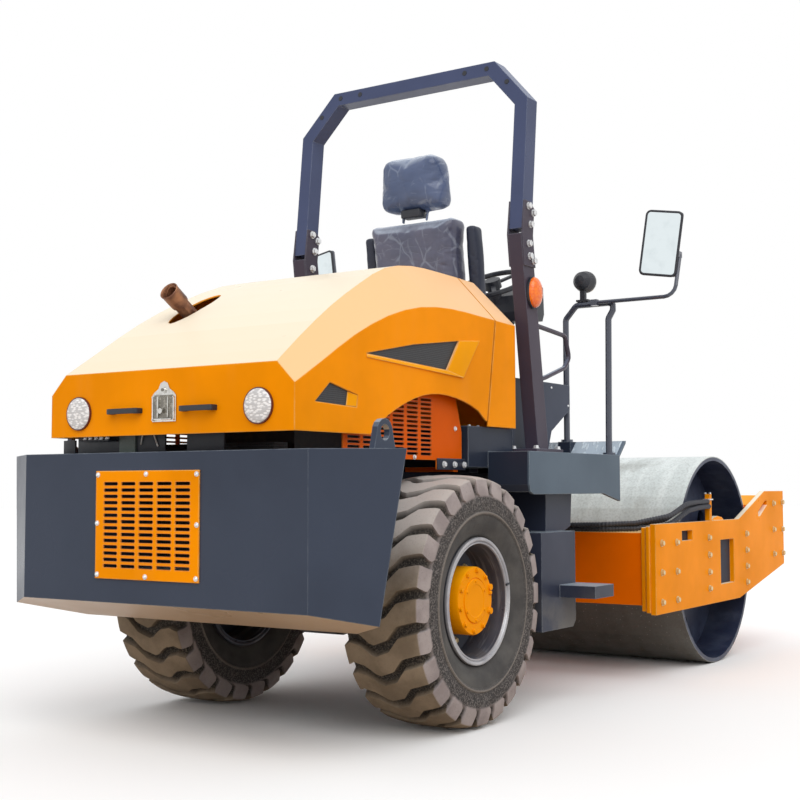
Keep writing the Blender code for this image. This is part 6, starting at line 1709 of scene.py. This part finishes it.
@dataclass
class HoodFittings:
    """Lamps, latch, window frames and handles on the tilting hood."""

    rear_x: float = -1.0703
    lamp_y: float = 0.481
    lamp_z: float = 1.329
    latch_z: float = 1.356

    def tail_lamp(self, side: float) -> None:
        """A round lamp: dark ring, bright bezel and a domed lens with prisms.

        Args:
            side: 1 for the left, -1 for the right.
        """
        centre = (self.rear_x, side * self.lamp_y, self.lamp_z)
        ring = Shape()
        ring.turned([
            (0.0, 0.0), (0.0, 0.0700), (0.007, 0.0700), (0.0095, 0.0695), (0.0105, 0.0680), (0.0095, 0.0665),
            (0.0070, 0.0662), (0.0040, 0.0640), (0.0040, 0.0),
        ], centre, BACK, 64)
        node = side_name("tail_lamp", side)
        ring.done(side_name("lamp_ring", side), RED_RING, Body.HOOD, [node])
        lens = Shape()
        lens.turned([
            (0.0045, 0.0), (0.0045, 0.0640), (0.0095, 0.0658), (0.0125, 0.0630), (0.0148, 0.0560),
            (0.0165, 0.0460), (0.0180, 0.0320), (0.0190, 0.0180), (0.0194, 0.0),
        ], centre, BACK, 64)
        lens.done(side_name("lamp_lens", side), LENS_PAINTED_REFLECTION, Body.HOOD)

    def latch(self) -> None:
        """The chromed paddle latch with its lever, keyhole and rivets."""
        x = self.rear_x
        plate = Shape()
        half, low, high = 0.0640, self.latch_z - 0.074, self.latch_z + 0.030
        plate.pressed([
            (-half, low), (half, low), (half, high), (half * 0.80, high + 0.014), (half * 0.46, high + 0.028),
            (half * 0.30, high + 0.050), (0.0, high + 0.058), (-half * 0.30, high + 0.050),
            (-half * 0.46, high + 0.028), (-half * 0.80, high + 0.014), (-half, high),
        ], "X", x - 0.006, x, 0.002)
        for side in SIDES:
            plate.side_block(side, (x - 0.012, half - 0.012, low + 0.004),
                             (x - 0.004, half - 0.004, high - 0.004), 0.002)
        plate.block((x - 0.016, -half + 0.016, low + 0.006), (x - 0.005, half - 0.016, low + 0.014), 0.004)
        plate.block((x - 0.018, 0.020, low + 0.016), (x - 0.008, 0.028, high - 0.004), 0.003)
        plate.block((x - 0.015, -0.030, low + 0.016), (x - 0.008, -0.025, high - 0.004), 0.002)
        plate.bar((x - 0.018, 0.002, low + 0.042), BACK, 0.011, 0.008, 24)
        plate.bar((x - 0.004, 0.0, high + 0.022), BACK, 0.012, 0.010, 24)
        for y in (-half + 0.008, half - 0.008):
            for z in (low + 0.008, high - 0.006):
                plate.bar((x - 0.005, y, z), BACK, 0.0045, 0.009, 12, 0.003)
        plate.done("latch_plate", CHROME, Body.HOOD, ["hood_latch"])
        well = Shape()
        well.block((x - 0.0095, -half + 0.014, low + 0.014), (x - 0.0058, half - 0.014, high + 0.002), 0.002)
        well.bar((x - 0.009, 0.0, high + 0.022), BACK, 0.0065, 0.0075, 20)
        well.done("latch_well", LATCH_WELL, Body.HOOD)

    def handle(self, name: str, y: float) -> None:
        """A moulded bridge handle with screw bosses at its feet.

        Args:
            name: The CAD node that it stands for.
            y: The handle's middle.
        """
        x, z, half = self.rear_x, 1.330, 0.090
        grip = Shape()
        low, high = y - half, y + half
        grip.pressed([
            (x, low), (x, low + 0.030), (x - 0.020, low + 0.040), (x - 0.020, high - 0.040),
            (x, high - 0.030), (x, high), (x - 0.030, high - 0.006), (x - 0.034, high - 0.022),
            (x - 0.034, low + 0.022), (x - 0.030, low + 0.006),
        ], "Z", z - 0.011, z + 0.011, 0.003)
        grip.done(name + "_moulded", PLASTIC, Body.HOOD, [name])

    @staticmethod
    def facet(shape: Shape, side: float, ring: Sequence[Point], base: float) -> None:
        """Add one sloping facet from its corners, each given as x, z and height above the base.

        Args:
            shape: The shape that takes it.
            side: 1 for the left, -1 for the right.
            ring: The corners.
            base: The distance of the hood's side.
        """
        verts = []
        for x, z, lift in ring:
            for height in (0.0, lift):
                verts.append(shape.bm.verts.new((x, side * (base + height), z)))
        hull = bmesh.ops.convex_hull(shape.bm, input=verts)
        loose = hull["geom_interior"] + hull["geom_unused"]
        spare = [item for item in loose if isinstance(item, bmesh.types.BMVert)]
        bmesh.ops.delete(shape.bm, geom=spare, context="VERTS")

    def window_frame(self, side: float) -> None:
        """The sloping surrounds of the two windows in the hood's side, in a lighter copy of the orange as
        painted light.

        Args:
            side: 1 for the left, -1 for the right.
        """
        shape = Shape()
        flat, lip, step = 0.0008, 0.0090, 0.0075
        upper, lower = 0.6502, 0.6424
        self.facet(shape, side, (
            (0.012, 1.532, flat), (0.117, 1.673, flat), (0.282, 1.687, lip), (0.138, 1.508, lip),
        ), upper)
        self.facet(shape, side, (
            (-0.606, 1.553, flat), (0.012, 1.532, flat), (0.138, 1.508, lip), (-0.606, 1.540, 0.004),
        ), upper)
        self.facet(shape, side, (
            (-0.738, 1.3405, flat), (-0.728, 1.397, flat), (-0.669, 1.3835, step), (-0.675, 1.3385, step),
        ), lower)
        shape.done(side_name("window_surround", side), SURROUND_LIT, Body.HOOD)

    def build(self) -> None:
        """Make every fitting of the hood."""
        for side in SIDES:
            self.tail_lamp(side)
            self.window_frame(side)
        self.latch()
        self.handle("hood_handle_left", 0.210)
        self.handle("hood_handle_right", -0.185)


# Cab fittings


@dataclass
class CabFittings:
    """Indicators, lamp glasses, mirror glasses, joint bolts and console fixings."""

    post_y: float = 0.6903
    indicator_x: float = 0.737
    indicator_z: float = 1.962
    panel_y: float = 0.6002
    deck_z: float = 1.1862
    plate_top: float = 1.1888

    def indicator(self, side: float) -> None:
        """An oval amber lens on its black base.

        Args:
            side: 1 for the left, -1 for the right.
        """
        node = side_name("indicator", side)
        base = Shape()
        verts = base.turned([(0.0, 0.0), (0.0, 1.0), (0.012, 1.0), (0.014, 0.97), (0.014, 0.0)], ORIGIN,
                            outward(side), 48)
        lens = Shape()
        glass = lens.turned([
            (0.0145, 0.0), (0.0145, 0.955), (0.020, 0.950), (0.028, 0.900), (0.035, 0.800), (0.042, 0.620),
            (0.047, 0.380), (0.0495, 0.150), (0.050, 0.0),
        ], ORIGIN, outward(side), 48)
        place = Matrix.Translation((self.indicator_x, side * self.post_y, self.indicator_z))
        stretch = place @ Matrix.Diagonal((0.058, 1.0, 0.078, 1.0))
        base.moved(verts, stretch)
        lens.moved(glass, stretch)
        base.done(side_name("indicator_base", side), PLASTIC, Body.REAR, [node])
        lens.done(side_name("indicator_lens", side), AMBER_LENS, Body.REAR)

    def work_lamp_glass(self, side: float) -> None:
        """The front glass of a work lamp with its bezel.

        Args:
            side: 1 for the left, -1 for the right.
        """
        centre = (1.4905, side * 0.625, 2.117)
        glass = Shape()
        glass.turned([
            (0.0003, 0.0), (0.0003, 0.050), (0.003, 0.050), (0.006, 0.035), (0.0075, 0.018), (0.008, 0.0),
        ], centre, AHEAD, 40)
        glass.done(side_name("work_lamp_glass", side), LENS_PAINTED_REFLECTION, Body.REAR)
        bezel = Shape()
        bezel.turned([
            (0.0003, 0.0505), (0.0003, 0.0580), (0.006, 0.0580), (0.0085, 0.0555), (0.0085, 0.0525),
            (0.006, 0.0505),
        ], centre, AHEAD, 40)
        bezel.done(side_name("work_lamp_bezel", side), CHROME, Body.REAR)

    def mirror_glass(self, side: float) -> None:
        """The silvered glass on the mirror head's rear face, and the rolled rim round it.

        Args:
            side: 1 for the left, -1 for the right.
        """
        rear, half_width, half_height = -0.016, 0.095, 0.1675
        turn = Matrix.Rotation(-side * math.radians(10.0), 4, "Z")
        tip = Matrix.Rotation(-side * math.radians(8.0), 4, "X")
        place = Matrix.Translation((1.435, side * 1.078, 2.270)) @ turn @ tip
        glass = Shape()
        edge = 0.009
        outline = oblong(half_width - edge, half_height - edge, 0.016, 4)
        glass.moved(glass.pressed(outline, "X", rear - 0.0012, rear - 0.0002), place)
        glass.done(side_name("mirror_glass", side), GLASS, Body.REAR)
        rim = Shape()
        edge = 0.004
        outline = oblong(half_width - edge, half_height - edge, 0.022, 6)
        path = [place @ Vector((rear + 0.004, y, z)) for y, z in outline]
        middle = (path[0] + path[-1]) / 2.0
        rim.swept([middle, *path, middle], 0.0075, 10)
        rim.done(side_name("mirror_rim", side), PLASTIC, Body.REAR)

    def joint_bolts(self, side: float) -> None:
        """The plated bolts of the roll-over frame's joint and foot plates.

        Args:
            side: 1 for the left, -1 for the right.
        """
        bolts = Shape()
        y = side * 0.6983
        for x, z in ((0.692, 2.380), (0.740, 2.352), (0.712, 2.292),
                     (0.692, 2.196), (0.701, 2.136), (0.741, 2.116)):
            bolts.bolt((x, y, z), outward(side), 0.029, 0.018, 1.25)
            bolts.bolt((x, side * 0.6117, z), outward(-side), 0.030, 0.016)
        for x in (0.725, 0.955):
            for foot_y in (0.590, 0.712):
                bolts.bolt((x, side * foot_y, 1.2063), UP, 0.024, 0.015)
        bolts.done(side_name("frame_bolts", side), ZINC, Body.REAR)
        plugs = Shape()
        for x, across, z in ((0.7201, 0.570, 3.0229), (0.7296, 0.451, 3.1110), (0.7297, 0.323, 3.1112)):
            plugs.bar((x, side * across, z), (-0.994, 0.0, 0.103), 0.0125, 0.0016, 24)
        plugs.done(side_name("hoop_plugs", side), PLASTIC, Body.REAR)

    def small_screws(self, side: float) -> None:
        """Console screws, side panel screws and the three bolts of the panel's foot plate.

        Args:
            side: 1 for the left, -1 for the right.
        """
        screws = Shape()
        for x, z in ((1.200, 1.535), (1.395, 1.450), (0.700, 1.535)):
            screws.bar((x, side * 0.5562, z), outward(side), 0.007, 0.004, 14, 0.005)
        for x, z in ((-0.600, 1.150), (-0.180, 1.150), (0.157, 1.283)):
            screws.bolt((x, side * self.panel_y, z), outward(side), 0.016, 0.008)
        for x in (0.300, 0.380):
            screws.bolt((x, side * 0.590, 1.3003), UP, 0.014, 0.008)
        for x in (0.050, 0.139, 0.222):
            screws.bolt((x, side * 0.6070, 1.122), outward(side), 0.022, 0.012)
        screws.done(side_name("panel_screws", side), ZINC, Body.REAR)

    def panel(self, side: float) -> None:
        """The rims of the side panel's slots, in a dark red that paints the shade at the slots' edges, and
        the plate at its foot.

        Args:
            side: 1 for the left, -1 for the right.
        """
        # The rims' dark red paints the shade round each slot.
        rims = Shape()
        for column in range(6):
            for row in range(13):
                rims.slot_rim((-0.626 + 0.108 * column, side * 0.6, 1.16525 + 0.0195 * row), outward(side),
                              0.084, 0.0105, 0.0020)
        rims.done(side_name("panel_slot_rims", side), PANEL_RIM_SHADE, Body.REAR)
        foot = Shape()
        foot.side_block(side, (0.0, self.panel_y, 1.0985), (0.2385, 0.6068, 1.1490), 0.002)
        foot.done(side_name("panel_foot", side), DARK_SLATE, Body.REAR)

    def deck(self) -> None:
        """The lozenge-patterned plates on the deck and toe board, and the pale manual box."""
        plates = Shape()
        for start, end in ((0.675, 0.825), (1.300, 1.412)):
            plates.block((start, -0.485, self.deck_z), (end, 0.485, self.plate_top))
        for side in SIDES:
            plates.side_block(side, (0.830, 0.250, self.deck_z), (1.245, 0.485, self.plate_top))
        run, rise = 0.080, 0.076
        length = math.hypot(run, rise)
        tilt = Matrix.Translation((1.420, 0.0, 1.186)) @ Matrix.Rotation(-math.atan2(rise, run), 4, "Y")
        for low, high in ((-0.818, -0.508), (-0.480, 0.480), (0.508, 0.818)):
            plates.moved(plates.block((0.004, low, 0.0003), (length - 0.004, high, 0.0028)), tilt)
        plates.done("deck_plates", SHEEN_PLATE, Body.REAR)
        box = Shape()
        box.block((0.672, -0.552, 1.5605), (0.716, -0.500, 1.6900), 0.004)
        box.done("manual_box", PALE_BOX, Body.REAR)

    def build(self) -> None:
        """Make the cab's fittings on both sides."""
        self.deck()
        for side in SIDES:
            self.indicator(side)
            self.work_lamp_glass(side)
            self.mirror_glass(side)
            self.joint_bolts(side)
            self.small_screws(side)
            self.panel(side)


# Counterweight and grille


@dataclass
class TailFittings:
    """What stands on the grille, between counterweight and hood, and on the exhaust."""

    plate_x: float = -1.1238
    plate_y: float = 0.045
    plate_half: float = 0.2775

    def grille(self) -> None:
        """The screws of the grille, and the rims of its slots in a darker orange that paints the shade at the
        slots' edges.
        """
        screws = Shape()
        left, right = self.plate_y + self.plate_half, self.plate_y - self.plate_half
        places = (
            (right + 0.012, 0.676), (right + 0.012, 1.074), (left - 0.012, 0.676), (left - 0.012, 1.074),
            (self.plate_y, 0.674), (self.plate_y, 1.076), (right + 0.010, 0.880), (left - 0.010, 0.880),
        )
        for y, z in places:
            screws.bar((self.plate_x, y, z), BACK, 0.011, 0.003, 20, 0.010)
            screws.bar((self.plate_x - 0.003, y, z), BACK, 0.0085, 0.005, 20, 0.005)
        screws.done("grille_screws", ZINC, Body.REAR)
        # The rims' darker orange paints the shade round each slot.
        rims = Shape()
        for column in range(5):
            for row in range(14):
                rims.slot_rim((self.plate_x, -0.1485 + 0.09675 * column, 0.71175 + 0.025115 * row), BACK,
                              0.078, 0.0135, 0.0022)
        rims.done("grille_slot_rims", SLOT_RIM_SHADE, Body.REAR)

    def bay(self) -> None:
        """The shields, shelves and fittings that show under the hood's rear edge."""
        shields = Shape()
        rear, front, foot, top = -0.946, -0.936, 1.164, 1.300
        for low, high, upper in ((0.115, 0.622, top), (0.640, 0.712, 1.226), (-0.200, -0.004, top)):
            shields.block((rear, low, foot), (front, high, upper), 0.002)
        shields.block((-1.000, 0.385, 1.216), (rear, 0.560, 1.224), 0.002)
        shields.block((-0.995, -0.410, 1.238), (-0.940, -0.160, 1.248), 0.002)
        shields.done("bay_shields", PLASTIC, Body.REAR)
        primer = Shape()
        primer.block((-0.956, 0.274, foot), (-0.9465, 0.366, 1.296), 0.002)
        primer.done("bay_cover", SHELF_GREEN, Body.REAR)
        fittings = Shape()
        for y in (0.405, 0.440, 0.470, 0.505, 0.535):
            fittings.bolt((-0.985, y, 1.2242), UP, 0.016, 0.012)
        for y in (-0.185, -0.235, -0.300, -0.350, -0.390):
            fittings.bolt((-0.980, y, 1.2482), UP, 0.018, 0.014)
        fittings.done("bay_fittings", ZINC, Body.REAR)
        cable = Shape()
        path = rounded_path((
            (-0.950, 0.150, 1.190), (-0.956, 0.180, 1.262), (-0.962, 0.200, 1.236), (-0.955, 0.228, 1.262),
            (-0.950, 0.246, 1.200),
        ), 0.010, 5)
        cable.swept(path, 0.0032, 8)
        cable.done("bay_cable", WIRE_WHITE, Body.REAR)

    def sleeve(self) -> None:
        """The rolled sleeve on the exhaust's open end."""
        along = Vector((-0.220, 0.0, 0.142)).normalized()
        tip = Vector((-0.695, 0.320, 1.8613))
        sleeve = Shape()
        sleeve.turned([
            (-0.060, 0.0363), (-0.060, 0.0400), (-0.052, 0.0415), (0.018, 0.0422), (0.022, 0.0440),
            (0.027, 0.0440), (0.029, 0.0420), (0.027, 0.0395), (0.020, 0.0375), (0.016, 0.0363),
        ], tip, along, 40)
        sleeve.done("exhaust_sleeve", PIPE, Body.REAR)

    def build(self) -> None:
        """Make the grille's, the bay's and the exhaust's fittings."""
        self.grille()
        self.bay()
        self.sleeve()


# Front frame


@dataclass
class FrontFittings:
    """Side plate bolts, beam end flanges and the spiral-wrapped hoses."""

    bolt_y: float = 0.9582
    groups: Sequence[tuple[float, Sequence[float]]] = (
        (1.665, (0.416, 0.571, 0.725)), (1.876, (0.416, 0.567, 0.723)), (2.368, (0.443, 0.537, 0.634, 0.732)),
        (3.016, (0.441, 0.538, 0.636, 0.735)), (3.551, (0.589, 0.746, 0.914)), (3.735, (0.587, 0.743, 0.919)),
    )
    hose_path: Sequence[Point] = (
        (1.622, -0.330, 0.8060), (1.640, -0.640, 0.8060), (1.760, -0.770, 0.8080), (1.900, -0.905, 0.8420),
        (2.060, -0.944, 0.9080), (2.230, -0.944, 0.9180), (2.3947, -0.944, 0.9200),
    )
    hose_step: float = 0.0042
    hose_spread: float = 0.0160
    strand_radius: float = 0.0135

    def bolts(self, side: float) -> None:
        """The rows of bolts on the outside of a side plate.

        Args:
            side: 1 for the left, -1 for the right.
        """
        shape = Shape()
        for x, heights in self.groups:
            for z in heights:
                shape.bolt((x, side * self.bolt_y, z), outward(side), 0.026, 0.017, 1.45)
        shape.done(side_name("plate_bolts", side), GOLD, Body.FRONT)

    def flanges(self, side: float) -> None:
        """Two welded flange plates at a rear beam's end, and dark sheets behind the side plate's openings,
        which paint the shade within them.

        Args:
            side: 1 for the left, -1 for the right.
        """
        shape = Shape()
        for start, end, grow in ((0.9045, 0.9275, 0.018), (0.8750, 0.8990, 0.006)):
            shape.side_block(side, (1.596 - grow, start, 0.374 - grow * 0.6),
                             (1.930 + grow, end, 0.806 + grow * 0.4), 0.003)
        shape.done(side_name("beam_flange", side), ORANGE, Body.FRONT)
        # The dark sheets behind the side plate's openings paint the shade inside them.
        cover = Shape()
        cover.side_block(side, (2.5615, 0.9283, 0.4565), (2.7885, 0.9313, 0.7105))
        cover.side_block(side, (1.9400, 0.9170, 0.7150), (2.1350, 0.9275, 0.7950), 0.002)
        cover.done(side_name("window_shade_sheet", side), SHADE_SHEET, Body.FRONT)

    def centre_line(self) -> list[Vector]:
        """Evenly spaced points along the bundle's path.

        Returns:
            The points.
        """
        path = rounded_path(self.hose_path, 0.120, 6)
        lengths = [0.0]
        for here, there in zip(path, path[1:]):
            lengths.append(lengths[-1] + (there - here).length)
        points = []
        at = 0
        for index in range(int(lengths[-1] / self.hose_step) + 1):
            goal = min(index * self.hose_step, lengths[-1])
            while at < len(lengths) - 2 and lengths[at + 1] < goal:
                at += 1
            part = (goal - lengths[at]) / (lengths[at + 1] - lengths[at])
            points.append(path[at].lerp(path[at + 1], part))
        return points

    def strand(self, line: Sequence[Vector], number: int) -> list[Vector]:
        """One hose's path, wound a little round the bundle's centre line.

        Args:
            line: The bundle's centre line.
            number: Which hose, from 0.

        Returns:
            The hose's path.
        """
        points = []
        last = len(line) - 1
        for index, point in enumerate(line):
            ahead = (line[min(index + 1, last)] - line[max(index - 1, 0)]).normalized()
            across = ahead.cross(Vector(UP)).normalized()
            upward = across.cross(ahead)
            share = index / last
            reach = self.hose_spread * (1.0 + 0.55 * math.sin(math.pi * share) ** 2)
            angle = math.tau * number / 3.0 + 0.55 + 0.8 * share
            lift = max(math.sin(angle) * reach, -0.0125 if share < 0.45 else -1.0)
            points.append(point + across * (math.cos(angle) * reach) + upward * lift)
        return points

    def hoses(self) -> None:
        """Three wrapped hoses laid beside each other along the bundle's path, and their clip."""
        line = self.centre_line()
        shape = Shape()
        for number in range(3):
            shape.swept(self.strand(line, number), self.strand_radius, 10,
                        lambda index, phase=2 * number: 1.06 if (index + phase) % 4 < 2 else 0.90)
        shape.done("wrapped_hoses", HOSE_BLACK, Body.FRONT, ["hose_bundle"], 20.0)
        clips = Shape()
        clips.block((2.386, -0.966, 0.944), (2.434, -0.918, 0.952), 0.002)
        for y in (-0.958, -0.930):
            clips.bolt((2.400, y, 0.9803), UP, 0.012, 0.008)
        clips.done("hose_clip", ZINC, Body.FRONT)

    def build(self) -> None:
        """Make the front frame's fittings."""
        for side in SIDES:
            self.bolts(side)
            self.flanges(side)
        self.hoses()


SINGLE_FINISHES: dict[str, Finish] = {
    "chassis": DARK_SLATE, "counterweight": TAIL_SLATE, "cowl": ORANGE, "drum": DRUM_STEEL,
    "engine_block": CASING, "exhaust_pipe": PIPE, "front_beam": BEAM_SHADE_ORANGE, "hood_shell": ORANGE,
    "platform": SKIRT_AND_SHADE_SLATE, "radiator": CORE, "radiator_grille": ORANGE, "rear_axle": DARK_SLATE,
    "rops_hoop": HOOP_SKY_SLATE, "seat_base": PLASTIC, "steering_column": PLASTIC, "steering_wheel": PLASTIC,
    "yoke_beam": BEAM_SHADE_ORANGE,
}
PAIR_FINISHES: dict[str, Finish] = {
    "handrail": TUBE_BLACK, "hood_mesh": WIRE, "mirror": TUBE_BLACK, "rops_post": POST_SHADE_SLATE,
    "side_console": SLATE, "side_panel": PANEL_SHADE_ORANGE, "side_plate": ORANGE, "side_tank": TANK_SLATE,
    "steering_barrel": DARK_SLATE, "steering_rod": CHROME, "work_lamp": PLASTIC,
}


def dress_nodes(nodes: dict[str, bpy.types.Object]) -> None:
    """Give each CAD node that stays its finish.

    Args:
        nodes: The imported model's nodes by name.
    """
    finishes = dict(SINGLE_FINISHES)
    for side in SIDES:
        finishes.update((side_name(stem, side), finish) for stem, finish in PAIR_FINISHES.items())
    for name, finish in finishes.items():
        slots = nodes[name].data.materials
        if not slots:
            slots.append(None)
        for index in range(len(slots)):
            slots[index] = finish.material()
        LOG.info("%s wears %s", name, finish.label)


def main() -> None:
    """Build the scene's sub-assemblies around the frame, in order."""
    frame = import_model()
    nodes = frame["nodes"]
    scene = bpy.context.scene
    scene.view_settings.view_transform = "Standard"
    studio = Studio()
    studio.camera()
    studio.light()
    studio.floor()
    dress_nodes(nodes)
    for side in SIDES:
        Tyre(side).build()
        Wheel(side).build()
    HoodFittings().build()
    CabFittings().build()
    TailFittings().build()
    FrontFittings().build()
    Seat(nodes).build()


if __name__ == "__main__":
    logging.basicConfig(level=logging.INFO, format="%(message)s")
    main()
